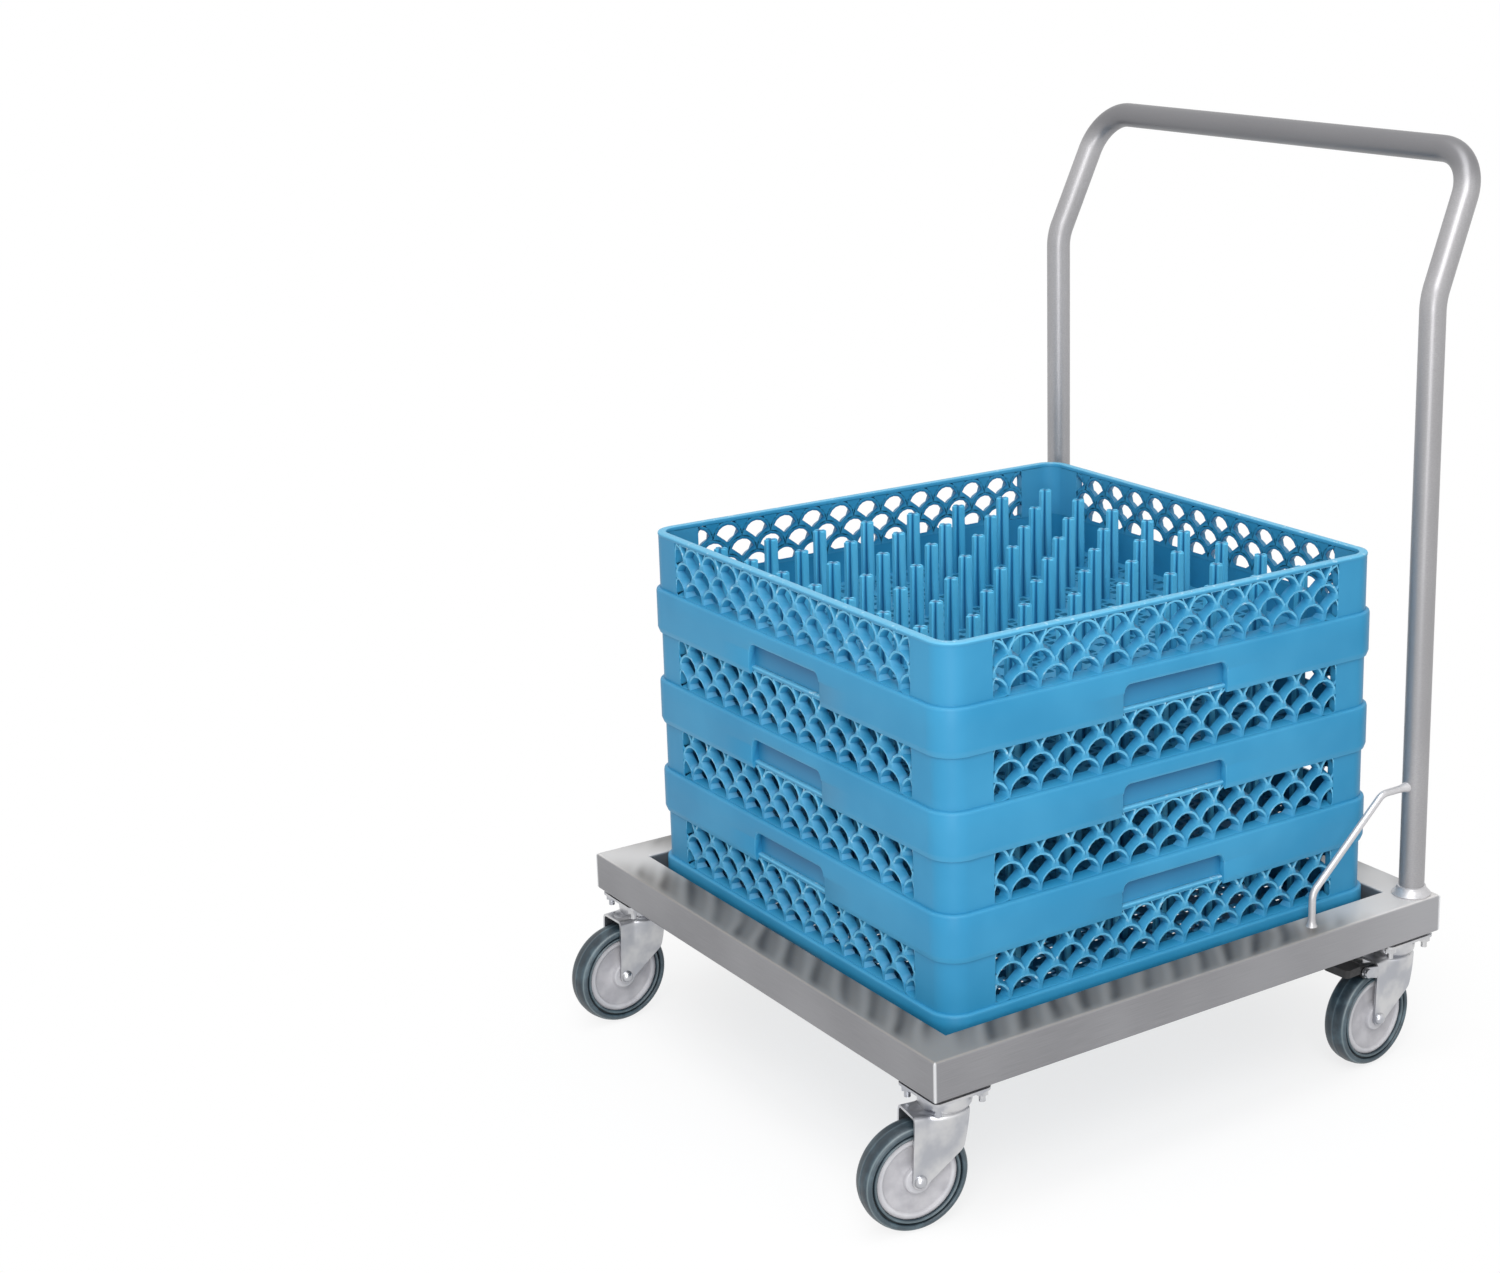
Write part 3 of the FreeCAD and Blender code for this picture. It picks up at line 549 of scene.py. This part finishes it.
def skirtShell():
    # over the width of the grip notch the section is drawn back behind the wall's face; the stations at
    # 26, 110 and 160 mm only keep the faces short
    inner = basket["half"] - basket["corner"]
    edge, bend, recess = basket["notchHalf"], basket["notchRound"], basket["recess"]
    proud, notchEdge, notchSoft = basket["proud"], basket["notchEdge"], basket["notchSoft"]
    arc = edge - bend + bend * np.sin(np.linspace(0, np.pi / 2, 6))
    right = np.concatenate([[0.0, 26.0], arc, [edge + notchEdge, edge + notchSoft, 110.0, 160.0, inner]])
    place, outward, along = wallStations(np.concatenate([-right[:0:-1], right]))
    away = np.abs(along)
    inside = away <= edge + 0.1
    near = ~inside & (away < edge + 1)
    face = np.where(inside, -recess, np.where(near, proud - notchEdge, proud))
    rise = np.sqrt(np.clip(bend ** 2 - np.clip(away - edge + bend, 0, bend) ** 2, 0, None))
    top = basket["notchTop"] - bend + rise
    lip = proud - basket["lip"]
    shelf, high, full = basket["shelf"], basket["skirt"], np.ones(len(along))
    rows = [  # offset outwards, level, wear value: painted highlight on the lips and edges
        (-basket["wall"] * full, shelf * full, 0),
        (np.where(inside, -recess - 1.2, lip), shelf * full, 0),
        (np.where(inside, -recess - 0.8, lip), np.where(inside, shelf, 0.6), 0),
        (np.where(inside, -recess - 0.4, lip + 0.5), np.where(inside, shelf, 0.0), 0.6),
        (np.where(inside, -recess, lip + 1.2), np.where(inside, shelf + 0.3, 0.3), 0.6),
        (face, np.where(inside, shelf + 1.5, basket["chamfer"]), 0.3),
        (face, np.where(inside, shelf + 3, basket["chamfer"] + 1.5), 0),
        (face, top, 0),
        (np.where(inside, proud - notchEdge, face), top + notchEdge, 0.9),
        (proud * full, top + notchSoft, 0.5),
        (proud * full, top + 3.5, 0),
        (proud * full, (high - 3) * full, 0),
        ((proud - 0.5) * full, (high - 1.3) * full, 0.5),
        ((proud - 1.8) * full, (high - 0.3) * full, 0.6),
        (0.2 * full, high * full, 0),
        (-basket["wall"] * full, high * full, 0),
    ]
    offset, level = np.array([row[0] for row in rows]), np.array([row[1] for row in rows])
    wearAndShading = np.array([row[2] for row in rows], float)[:, None] * full
    # rows 5 to 7 are the notch's face up to its top, in painted shade that is darkest at the top, and rows 8
    # and 9 keep their painted highlight beside the notch only
    wearAndShading[5:7] = np.where(inside, basketShading["notchFace"], wearAndShading[5:7])
    wearAndShading[7] = np.where(inside, basketShading["notchTop"], np.where(near, basketShading["notchEdge"], 0))
    wearAndShading[8:10] *= inside | near
    return ringShell(place, outward, offset, level, wearAndShading)


def rimShell():
    # a rounded bead on top of the wall
    inner = basket["half"] - basket["corner"]
    place, outward, along = wallStations(np.linspace(-inner, inner, 13))
    high, low, wall = basket["height"], basket["height"] - basket["rim"], basket["wall"]
    rows = np.array([  # offset outwards, level, wear value: painted highlight on the bead's top, which also carries the worn nicks
        (-wall, low, 0), (-wall, high - 1.2, 0.2), (-wall + 0.5, high - 0.3, 0.9), (-wall + 1.4, high, 1),
        (-1.2, high, 1), (0.0, high - 0.35, 1), (0.5, high - 1.2, 0.9), (0.5, high - 2.4, 0.5),
        (0.1, high - 3.4, 0.1), (0.0, low, 0),
    ])
    offset = rows[:, :1] * np.ones(len(along))
    return ringShell(place, outward, offset, rows[:, 1:2], rows[:, 2:])


def postShell():
    # a corner post stands from the skirt to the rim, between the windows of two sides
    half, corner, wall, seam = basket["half"], basket["corner"], basket["wall"], basket["seam"]
    inner, window = half - corner, basket["windowHalf"]
    spoke = np.stack([np.cos(cornerBend), np.sin(cornerBend)], 1)
    place = np.concatenate([[(window, -half)], np.array([inner, -inner]) + corner * spoke, [(half, -window)]])
    outward = np.concatenate([[(0, -1)], spoke, [(1, 0)]])
    low, high = basket["skirt"] - seam, basket["height"] - basket["rim"] + seam
    section = np.array([(0, low), (0, high), (-wall, high), (-wall, low)])
    flat = place[:, None] + section[None, :, :1] * outward[:, None]
    level = np.broadcast_to(section[:, 1:], (len(place), 4, 1))
    # painted light: the inner faces of the posts are paler
    wearAndShading = np.array([0.0, 0.0, basketShading["postInside"], basketShading["postInside"]])
    return gridShell(np.concatenate([flat, level], -1), False, True, True, wearAndShading)


cell = dict(radius=400 / 24, foot=2.0, crest=1.5, humpCrest=0.6, crestDrop=0.3, footDrop=2.2, overlap=0.35,
            hole=3.3, holeRoom=0.4, holeFloor=-0.26, ledge=3.6, softness=7.0, steps=16, lowMiddle=0.3,
            halfMiddle=0.1, halfAside=0.15)
# per row of a cell, crest, shoulder, hole and back crest: painted highlight on the crest and shoulder,
# stronger along the arch, and painted shade at the hole
cellShading = dict(foot=[0.3, 0.2, -0.25, 0.7], arch=[0.7, 0.7, -0.6, 0.0])
# the pocket's last list paints shade on its floor and a highlight on its crest
pocket = dict(middle=0.74, steps=12, inset=1.5, room=0.2, pole=0.02, floor=2.0,
              wearAndShading=[-0.5, -0.5, 0.95, 1.0, 0.0, 0.0])
far, tiny = 1e3, 1e-6  # millimetres: beyond every limit, and next to nothing


def outline(angle, origin, inset, arch=True, humps=(), lines=(), softness=None):
    # distance from the origin to the nearest limit in each direction: the arch over the cell with straight
    # legs, the arches of the row below, and straight lines given as (outward x, outward y, distance)
    radius = cell["radius"]
    dx, dy = np.cos(angle), np.sin(angle)
    limits = []
    if arch:
        ahead = origin @ np.stack([dx, dy])
        arc = -ahead + np.sqrt(ahead ** 2 + (radius - inset) ** 2 - origin @ origin)
        across = np.where(np.abs(dx) < tiny, tiny, dx)
        legs = (np.sign(across) * (radius - inset) - origin[0]) / across
        limits.append(np.where(origin[1] + arc * dy >= 0, arc, legs))
    for hump in humps:
        centre = np.array(hump) * radius - origin
        ahead = centre @ np.stack([dx, dy])
        room = ahead ** 2 - centre @ centre + (radius + inset) ** 2
        hit = (room > 0) & (ahead > 0)
        limits.append(np.where(hit, ahead - np.sqrt(np.where(hit, room, 0)), far))
    for outX, outY, distance in lines:
        facing = outX * dx + outY * dy
        gap = distance - inset - outX * origin[0] - outY * origin[1]
        limits.append(np.where(facing > tiny, gap / np.where(facing > tiny, facing, 1), far))
    limits = np.array(limits)
    if softness is None:
        return limits.min(0)
    return (limits ** -softness).sum(0) ** (-1 / softness)


def cellShape(origin, humps, lines, holeLines):
    # a funnel: crest on the outer face, wider along the arch, sloping sides, and a smaller rounded hole on
    # the inner face; a cell between two arches has a valley in its narrow foot
    origin = np.array(origin, float)
    angle = np.linspace(-np.pi / 2, 1.5 * np.pi, cell["steps"], endpoint=False)
    crest = outline(angle, origin, -cell["overlap"], True, humps, lines)
    below = outline(angle, origin, cell["humpCrest"], False, humps, lines)
    shoulder = np.minimum(below, outline(angle, origin, cell["crest"]))
    hole = outline(angle, origin, cell["hole"], True, humps, lines + holeLines, cell["softness"])
    hole = np.minimum(hole, shoulder - cell["holeRoom"])
    reach = np.stack([crest, shoulder, hole, crest])
    depth = np.array([0, cell["crestDrop"], basket["wall"], basket["wall"]])[:, None] * np.ones(len(angle))
    if humps:
        depth[1, 0] += cell["footDrop"]
    return np.stack([origin[0] + reach * np.cos(angle), depth, origin[1] + reach * np.sin(angle)], -1)


def pocketShape():
    # the three-cornered blind pocket between two top arches and the rim
    origin = np.array([0.0, pocket["middle"] * cell["radius"]])
    angle = np.linspace(-np.pi / 2, 1.5 * np.pi, pocket["steps"], endpoint=False)
    limits = dict(arch=False, humps=((-1, 0), (1, 0)), lines=[(0, 1, cell["radius"]), (0, -1, 0.0)])
    crest = outline(angle, origin, -cell["overlap"], **limits)
    shoulder = outline(angle, origin, cell["humpCrest"], **limits)
    floor = np.minimum(outline(angle, origin, pocket["inset"], **limits), shoulder - pocket["room"])
    pole = floor * pocket["pole"]
    reach = np.stack([pole, floor, shoulder, crest, crest, pole])
    wall, deep = basket["wall"], basket["wall"] - pocket["floor"]
    depth = np.array([deep, deep, cell["crestDrop"], 0, wall, wall])[:, None] * np.ones(len(angle))
    return np.stack([origin[0] + reach * np.cos(angle), depth, origin[1] + reach * np.sin(angle)], -1)


def wallPlaces(along, row):
    # where the cells of a row have their origins, on the wall's outer face
    level = basket["skirt"] + cell["foot"] + row * cell["radius"]
    return np.stack([along, np.full(len(along), -basket["half"]), np.full(len(along), level)], 1)


def latticeShells():
    # three staggered rows of cells; the rows that start on the window's edge have a half cell at each end
    radius, foot, ends = cell["radius"], cell["foot"], basket["windowHalf"]
    columns = int(round(ends / radius))
    odd = (np.arange(columns) - (columns - 1) / 2) * 2 * radius
    even = (np.arange(columns - 1) - (columns - 2) / 2) * 2 * radius
    humps, cusp = ((-1, -1), (1, -1)), [(0, -1, radius)]
    base, holeBase = [(0, -1, foot)], [(0, -1, foot - cell["ledge"] + cell["hole"])]
    ledge = [(0, -1, -cell["holeFloor"] * radius + cell["hole"])]
    lowMiddle, halfMiddle = cell["lowMiddle"] * radius, cell["halfMiddle"] * radius
    kinds = [  # shape, places along the wall, row
        (cellShape((0, lowMiddle), (), base, holeBase), even, 0),
        (cellShape((0, 0), humps, cusp, ledge), odd, 1),
        (cellShape((0, 0), humps, cusp, ledge), even, 2),
    ]
    for side in (-1, 1):
        cut, edge = [(side, 0, 0.0)], np.array([side * ends])
        aside = -side * cell["halfAside"] * radius
        kinds.append((cellShape((aside, lowMiddle), (), base + cut, holeBase), edge, 0))
        kinds.append((cellShape((aside, halfMiddle), humps, cusp + cut, ledge), edge, 2))
    height = np.sin(np.linspace(-np.pi / 2, 1.5 * np.pi, cell["steps"], endpoint=False))
    onArch = soft(height * 2 + 0.4)  # 1 along the arch, 0 round the foot
    # painted highlight on the crests and painted shade round the holes
    wearAndShading = np.array(cellShading["foot"])[:, None] + np.array(cellShading["arch"])[:, None] * onArch
    shells = [repeatShell(shape, wallPlaces(along, row), True, True, False, wearAndShading)
              for shape, along, row in kinds]
    wearAndShading = np.array(pocket["wearAndShading"])[:, None]
    shells.append(repeatShell(pocketShape(), wallPlaces(odd, 2), False, True, True, wearAndShading))
    return shells


grille = dict(bottom=8.3, top=12.0, bar=12.0, thinBar=4.0, thinBars=3, margin=12.0, clearance=0.3,
              cornerReach=18.0, pegRows=8, pegEdge=42.5, pegFoot=13.8, pegTip=13.0, finFoot=4.8, finTip=4.2,
              pegBelowRim=17.0, pegChamfer=0.8, pegSink=0.5)
# painted light on the pegs: fins darker at the foot and paler towards the top, and painted shade in the
# grooves
pegShading = dict(fin=[-0.3, 0.6, 0.7], groove=-1.0)


def pegPlaces():
    reach = basket["half"] - basket["wall"] - grille["pegEdge"]
    return np.linspace(-reach, reach, grille["pegRows"])


def grilleShell():
    # a plate on a grid of lines whose cells between the bars are left open; thin bars split the wide gaps
    half = basket["half"] - basket["wall"] - grille["clearance"]
    window = basket["half"] - basket["wall"] - grille["margin"]
    gap = pegPlaces()[1] - pegPlaces()[0] - grille["bar"]
    order = np.arange(1, grille["thinBars"] + 1)
    share = (gap - grille["thinBars"] * grille["thinBar"]) / (grille["thinBars"] + 1)
    thin = pegPlaces()[:-1, None] + grille["bar"] / 2 + order * share + (order - 0.5) * grille["thinBar"]
    side = (window + pegPlaces()[-1] + grille["bar"] / 2) / 2
    thin = np.concatenate([thin.ravel(), [-side, side]])
    bars = (pegPlaces()[:, None] + np.array([-0.5, 0.5]) * grille["bar"]).ravel()
    thin = (thin[:, None] + np.array([-0.5, 0.5]) * grille["thinBar"]).ravel()
    lines = np.sort(np.concatenate([[-half, -window], bars, thin, [window, half]]))
    count = len(lines)
    solid = np.ones((count - 1, count - 1), bool)
    solid[1::2, 1::2] = False
    x, y = np.meshgrid(lines, lines, indexing="ij")
    atCorner = (np.abs(x) > window + 1) & (np.abs(y) > window + 1)
    cornerAt = basket["half"] - basket["corner"] + grille["cornerReach"] * np.sqrt(0.5)
    x, y = np.where(atCorner, np.sign(x) * cornerAt, x), np.where(atCorner, np.sign(y) * cornerAt, y)
    points = np.concatenate([np.stack([x, y, np.full_like(x, level)], -1).reshape(-1, 3)
                             for level in (grille["bottom"], grille["top"])])
    layer = count * count
    across, along = np.nonzero(solid)
    first = across * count + along
    sheet = np.stack([first, first + count, first + count + 1, first + 1], 1)
    padded = np.pad(solid, 1)
    across, along = np.nonzero(padded[1:, 1:-1] != padded[:-1, 1:-1])
    start = across * count + along
    wallsA = np.stack([start, start + 1, start + 1 + layer, start + layer], 1)
    across, along = np.nonzero(padded[1:-1, 1:] != padded[1:-1, :-1])
    start = across * count + along
    wallsB = np.stack([start, start + count, start + count + layer, start + layer], 1)
    faces = [np.concatenate([sheet[:, ::-1], sheet + layer, wallsA, wallsB])]
    # painted shade: the grille's bars are darker than the pegs
    return points, faces, np.full(len(points), basketShading["grille"])


def pegShell():
    # a cross-shaped post, slightly tapered, with a chamfered top
    top, chamfer = basket["height"] - grille["pegBelowRim"], grille["pegChamfer"]
    levels = [  # width, thickness of a fin, level
        (grille["pegFoot"], grille["finFoot"], grille["top"] - grille["pegSink"]),
        (grille["pegTip"], grille["finTip"], top - chamfer),
        (grille["pegTip"] - 2 * chamfer, grille["finTip"] - chamfer, top),
    ]
    sections = []
    for width, thickness, level in levels:
        reach, half = width / 2, thickness / 2
        ring = np.array([(reach, -half), (reach, half), (half, half), (half, reach), (-half, reach),
                         (-half, half), (-reach, half), (-reach, -half), (-half, -half), (-half, -reach),
                         (half, -reach), (half, -half)])
        sections.append(np.concatenate([ring, np.full((len(ring), 1), level)], 1))
    x, y = np.meshgrid(pegPlaces(), pegPlaces(), indexing="ij")
    places = np.stack([x.ravel(), y.ravel(), np.zeros(x.size)], 1)
    onFin = np.tile([1.0, 1.0, 0.0], 4)  # two corners of a fin, then the groove beside it
    # painted highlight on the fins, painted shade in the grooves
    wearAndShading = np.array(pegShading["fin"])[:, None] * onFin + pegShading["groove"] * (1 - onFin)
    return repeatShell(np.array(sections), places, False, True, True, wearAndShading)


def addBaskets():
    wallShells = [skirtShell(), rimShell()] + quarterTurns(postShell())
    for panel in latticeShells():
        wallShells += quarterTurns(panel)
    floorShells = [grilleShell(), pegShell()]
    for level in range(1, 5):
        node = "basket_%d" % level
        lift = np.array([0, 0, boxOf(node)[0][2]])
        raised = [changed(shell, lambda points: points + lift) for shell in wallShells]
        addPiece(node + "_shell", raised, basketBlue, node, (node, node + "_lattice"))
        raised = [changed(shell, lambda points: points + lift) for shell in floorShells]
        addPiece(node + "_grille", raised, pegBlueLit, node, (node + "_base",))


addBaskets()
print("baskets made")


# Push handle with its foot collars, and the two retaining rods

handle = dict(radius=12.5, lean=24.0, knee=55.0, corner=45.0, inset=6.0, sides=40, steps=20)
collar = dict(foot=19.0, neck=14.0, height=9.0, base=1.6, edge=0.4, curve=1.7, cap=0.6, capInset=0.2,
              segments=48)
rod = dict(radius=3.5, rise=33.0, knee=44.0, bend=15.0, sides=20, weld=2.2, weldReach=3.0, footRun=10.0,
           postRun=26.0)


def addHandle():
    low, high = boxOf("push_handle")
    radius, base = handle["radius"], low[2]
    x, y, bar, barY = high[0] - radius, low[1] + radius, high[2] - radius, high[1] - radius
    lean = np.radians(handle["lean"])
    knee = bar - (barY - y) / np.tan(lean)
    half = [(-x, y, base), (-x, y, knee), (handle["inset"] - x, barY, bar)]
    corners = half + [(-px, py, pz) for px, py, pz in half[::-1]]
    bends = (handle["knee"], handle["corner"], handle["corner"], handle["knee"])
    path = roundedPath(corners, bends, handle["steps"])
    square = (0.0, -np.cos(lean), np.sin(lean))  # square to the leaning part, so never along the tube
    addPiece("push_handle_tube", [tube(path, radius, handle["sides"], square)], tubeSteel,
             "frame", ("push_handle",))
    share = np.linspace(0, 1, 9)
    flare = collar["neck"] + (collar["foot"] - collar["neck"]) * (1 - share) ** collar["curve"]
    profile = [(base, collar["foot"] - collar["edge"])]
    profile += list(zip(base + collar["base"] + share * (collar["height"] - collar["base"]), flare))
    profile.append((base + collar["height"] + collar["cap"], radius - collar["capInset"]))
    foot = lathe(profile, collar["segments"])
    feet = [changed(foot, lambda points: points + np.array([side * x, y, 0])) for side in (-1, 1)]
    addPiece("handle_foot_collars", feet, rodSteel, "frame", ("handle_collars",))
    for side in ("left", "right"):
        addRod(side + "_retaining_rod", y, y - radius)


def addRod(node, post, postFace):
    # a bent rod from the side rail to the handle's post, thicker at both ends, where it is welded
    low, high = boxOf(node)
    across, foot, top = (low[0] + high[0]) / 2, low[1] + rod["radius"], high[2] - rod["radius"]
    corners = [(across, foot, low[2]), (across, foot, low[2] + rod["rise"]),
               (across, post - rod["knee"], top), (across, post, top)]
    path = roundedPath(corners, (rod["bend"], rod["bend"]))
    path = np.concatenate([path[0] + np.linspace(0, 1, 6)[:, None] * np.array([0, 0, rod["footRun"]]),
                           path[1:-1],
                           path[-1] - np.linspace(1, 0, 8)[:, None] * np.array([0, rod["postRun"], 0])])
    toPost = np.where(path[:, 2] > top - 0.1, postFace - path[:, 1], far)
    toEnd = np.minimum(path[:, 2] - low[2], toPost)
    size = rod["radius"] + rod["weld"] * np.exp(-np.clip(toEnd, 0, None) / rod["weldReach"])
    addPiece(node + "_bar", [tube(path, size, rod["sides"], (1.0, 0.0, 0.0))], rodSteel,
             "frame", (node,))


addHandle()
print("handle and rods made")


# Castors: pressed fork with its bowl, wheel and tyre, made at the kingpin and turned to where each stands

fork = dict(crown=110.0, half=17.0, sheet=2.5, fold=5.0, lead=16.0, shoulder=72.0, shoulderLead=10.0,
            blend=3.0, trail=32.0, axle=50.0, endRadius=7.0, endGap=0.25, backLean=2.5, bulge=6.3,
            bulgeFrom=62.0, bulgeTo=112.0, bulgeAt=-3.0, bulgeHalf=19.0, turnIn=-0.2, dimple=1.3,
            dimpleRadius=5.5, dimpleEdge=1.4, dimpleAt=-26.0)
ear = dict(back=52.0, level=104.0, radius=5.0, root=36.0, rootTop=106.0, rootLow=94.0, roundShare=0.97)
bowl = [(103.0, 15.5), (106.5, 18.2), (109.5, 21.6), (111.8, 23.4), (114.0, 24.0), (119.9, 24.0),
        (121.0, 23.6), (121.4, 22.8), (121.0, 21.9), (114.5, 21.4), (113.2, 20.4), (113.2, 12.0),
        (103.0, 12.0)]


def forkEdges(level):
    # leading and trailing edge of a leg at a level: round end at the axle, a slanting edge up to the
    # shoulder, a steep edge from there to the crown, and a back that leans a little
    radius, axle, trail, crown = fork["endRadius"], fork["axle"], fork["trail"], fork["crown"]
    shoulder, shoulderLead = fork["shoulder"], fork["shoulderLead"]
    reach = np.array([shoulderLead + trail, shoulder - axle])
    length = np.linalg.norm(reach)
    turn = np.arctan2(reach[1], reach[0]) - np.arccos(radius / length)
    touch = np.array([-trail + radius * np.cos(turn), axle + radius * np.sin(turn)])
    slant = touch[0] + (shoulderLead - touch[0]) / (shoulder - touch[1]) * (level - touch[1])
    steep = shoulderLead + (fork["lead"] - shoulderLead) / (crown - shoulder) * (level - shoulder)
    front = (slant + steep - np.sqrt((slant - steep) ** 2 + fork["blend"] ** 2)) / 2  # the lesser, rounded
    chord = np.sqrt(np.clip(radius ** 2 - (level - axle) ** 2, 0, None))
    least = -trail + np.where(level < axle, chord, 0)
    lead = np.where(level < touch[1], -trail + chord, np.maximum(front, least))
    lean = fork["backLean"] * np.clip((level - axle) / (crown - axle), 0, 1)
    return lead, np.where(level < axle, -trail - chord, -trail - radius + lean)


def forkShell():
    # a folded strip: up one leg, over the crown and down the other, each station a thin closed section
    fold, half, crown, axle = fork["fold"], fork["half"], fork["crown"], fork["axle"]
    low = axle - fork["endRadius"] + fork["endGap"]
    bottom = low + (axle - low) * (1 - np.cos(np.linspace(0, np.pi / 2, 8)))
    leg = np.concatenate([bottom, np.linspace(axle, crown - fold, 26)[1:]])
    bend = np.linspace(0, np.pi / 2, 7)[1:-1]
    flat = np.linspace(half - fold, 0, 7)[:-1]
    x = np.concatenate([np.full(len(leg), half), half - fold + fold * np.cos(bend), flat])
    z = np.concatenate([leg, crown - fold + fold * np.sin(bend), np.full(len(flat), crown)])
    outX = np.concatenate([np.ones(len(leg)), np.cos(bend), np.zeros(len(flat))])
    outZ = np.concatenate([np.zeros(len(leg)), np.sin(bend), np.ones(len(flat))])
    x, z, outX, outZ = [np.concatenate([near, last, sign * near[::-1]]) for near, last, sign in
                        ((x, [0.0], -1), (z, [crown], 1), (outX, [0.0], -1), (outZ, [1.0], 1))]
    lead, back = forkEdges(z)
    share = np.linspace(0, 1, 30)
    y = lead[:, None] + (back - lead)[:, None] * share
    # the bulge is a parabola across the leg that turns in at the front and leaves the back flat
    crest = np.clip(1 - ((y - fork["bulgeAt"]) / fork["bulgeHalf"]) ** 2, fork["turnIn"], 1)
    crest = np.where(y < fork["bulgeAt"], np.clip(crest, 0, 1), crest)
    swell = soft((z - fork["bulgeFrom"]) / (fork["bulgeTo"] - fork["bulgeFrom"]))[:, None]
    push = fork["bulge"] * crest * swell * np.abs(outX)[:, None]
    away = np.hypot(x[:, None], y - fork["dimpleAt"]) / fork["dimpleRadius"]
    sink = fork["dimple"] * soft(fork["dimpleEdge"] - away) * outZ[:, None]
    px = x[:, None] + push * np.sign(x)[:, None]
    pz = z[:, None] - sink
    outer = np.stack([px, y, pz], -1)
    inner = np.stack([px - fork["sheet"] * outX[:, None], y, pz - fork["sheet"] * outZ[:, None]], -1)
    return gridShell(np.concatenate([outer, inner[:, ::-1]], 1), False, True, True)


def earShells():
    # two flat lugs behind the legs that carry the brake pin: straight edges, then a round end about the pin
    radius, root, back = ear["radius"], -ear["root"], -ear["back"]
    turn = np.linspace(0, np.pi / 2, 7)[1:] * ear["roundShare"]
    y = np.concatenate([[root, back], back - radius * np.sin(turn)])
    half = np.concatenate([[0, radius], radius * np.cos(turn)])
    top, low = ear["level"] + half, ear["level"] - half
    top[0], low[0] = ear["rootTop"], ear["rootLow"]
    outer, inner = np.full(len(y), fork["half"]), np.full(len(y), fork["half"] - fork["sheet"])
    points = np.stack([np.stack([x, y, z], -1) for x, z in
                       ((outer, top), (outer, low), (inner, low), (inner, top))], 1)
    lug = gridShell(points, False, True, True)
    return [lug, changed(lug, lambda spots: spots * np.array([-1, 1, 1]))]


def mirrored(profile):
    # right half of a profile, from the middle outwards, completed with its left half
    half = np.array(profile, float)
    return np.concatenate([half, (half * np.array([-1, 1]))[::-1]])


wheelProfile = [(14.0, 6.3), (14.0, 11.2), (13.2, 12.4), (10.0, 13.6), (8.7, 15.4), (8.3, 17.5), (8.3, 30.4),
                (8.7, 31.6), (9.9, 32.6), (10.4, 33.6), (10.4, 35.6), (10.0, 36.8), (9.3, 37.9)]
# painted highlight per profile point, on the hub's edge and on the raised ring
wheelHighlight = [0.2, 0.4, 0.3, 0, 0, 0, 0, 0, 0.3, 0.6, 0.3, 0.2, 0]
tyreProfile = [(9.4, 38.05), (11.2, 38.3), (12.1, 39.0), (12.4, 40.0), (11.6, 41.0), (9.9, 41.5), (9.9, 42.2),
               (12.2, 42.8), (13.0, 44.0), (12.8, 45.4), (11.9, 46.9), (11.2, 47.5), (9.7, 48.4), (6.6, 49.3),
               (3.2, 49.7), (1.0, 49.75), (0.5, 50.0)]
# per profile point: painted shade in the grooves and across the tread below 0, a painted highlight on the
# bead, and the paler mould line at 0.8
tyreMouldAndShading = [-0.6, 0, 0.3, 0.5, 0.1, -0.9, -0.9, 0, 0.15, 0.1, 0.2, 0.8, -0.1, -0.4, -0.4, -0.2, 0.2]
around = dict(bowl=64, wheel=72, tyre=96)  # segments of each turned shape
sharpAngle = dict(wheel=28, tyre=50)


def toAxle(points):
    # a lathe's Z axis laid along the axle
    spun = np.stack([points[:, 2], points[:, 0], points[:, 1]], 1)
    return spun + np.array([0, -fork["trail"], fork["axle"]])


def addCastors():
    forkShells = [forkShell(), lathe(bowl, around["bowl"], True)]
    wearAndShading = np.concatenate([wheelHighlight, wheelHighlight[::-1]])[:, None]
    wheel = changed(lathe(mirrored(wheelProfile), around["wheel"], True, wearAndShading), toAxle)
    wearAndShading = np.concatenate([tyreMouldAndShading, tyreMouldAndShading[::-1]])[:, None]
    tyre = changed(lathe(mirrored(tyreProfile), around["tyre"], True, wearAndShading), toAxle)
    for corner in ("front_left", "front_right", "rear_left", "rear_right"):
        x, y, z = joints[corner + "_swivel"]["pos_m"]
        along = joints[corner + "_roll"]["axis"]
        turn = np.array([[along[0], along[1], 0], [-along[1], along[0], 0], [0, 0, 1]])
        spot = np.array([x * 1000, y * 1000, 0])

        def stand(points):
            return points @ turn + spot

        pressed = forkShells + (earShells() if corner.startswith("rear") else [])
        addPiece(corner + "_fork_shell", [changed(shell, stand) for shell in pressed], zincSteel,
                 corner + "_castor", (corner + "_fork",))
        addPiece(corner + "_wheel_disc", [changed(wheel, stand)], wheelGrey, corner + "_wheel_set",
                 (corner + "_wheel",), sharpAngle["wheel"])
        addPiece(corner + "_tyre_ring", [changed(tyre, stand)], tyreDark, corner + "_wheel_set",
                 (corner + "_tyre",), sharpAngle["tyre"])


addCastors()
print("castors made")


# The CAD nodes that stay get their finish by name

finishes = [("front_rail", railX), ("rear_rail", railX), ("left_rail", railY), ("right_rail", railY),
            ("gusset", railX), ("swivel_balls", ballSteel), ("kingpins", ballSteel), ("bush", ballSteel),
            ("brake_pedal", pedalBlack)]


def finishNodes():
    for name, node in frame["nodes"].items():
        chosen = [material for part, material in finishes if part in name]
        finish = chosen[0] if chosen else zincSteel
        node.data.materials.clear()
        node.data.materials.append(finish)


finishNodes()
print("CAD nodes finished")
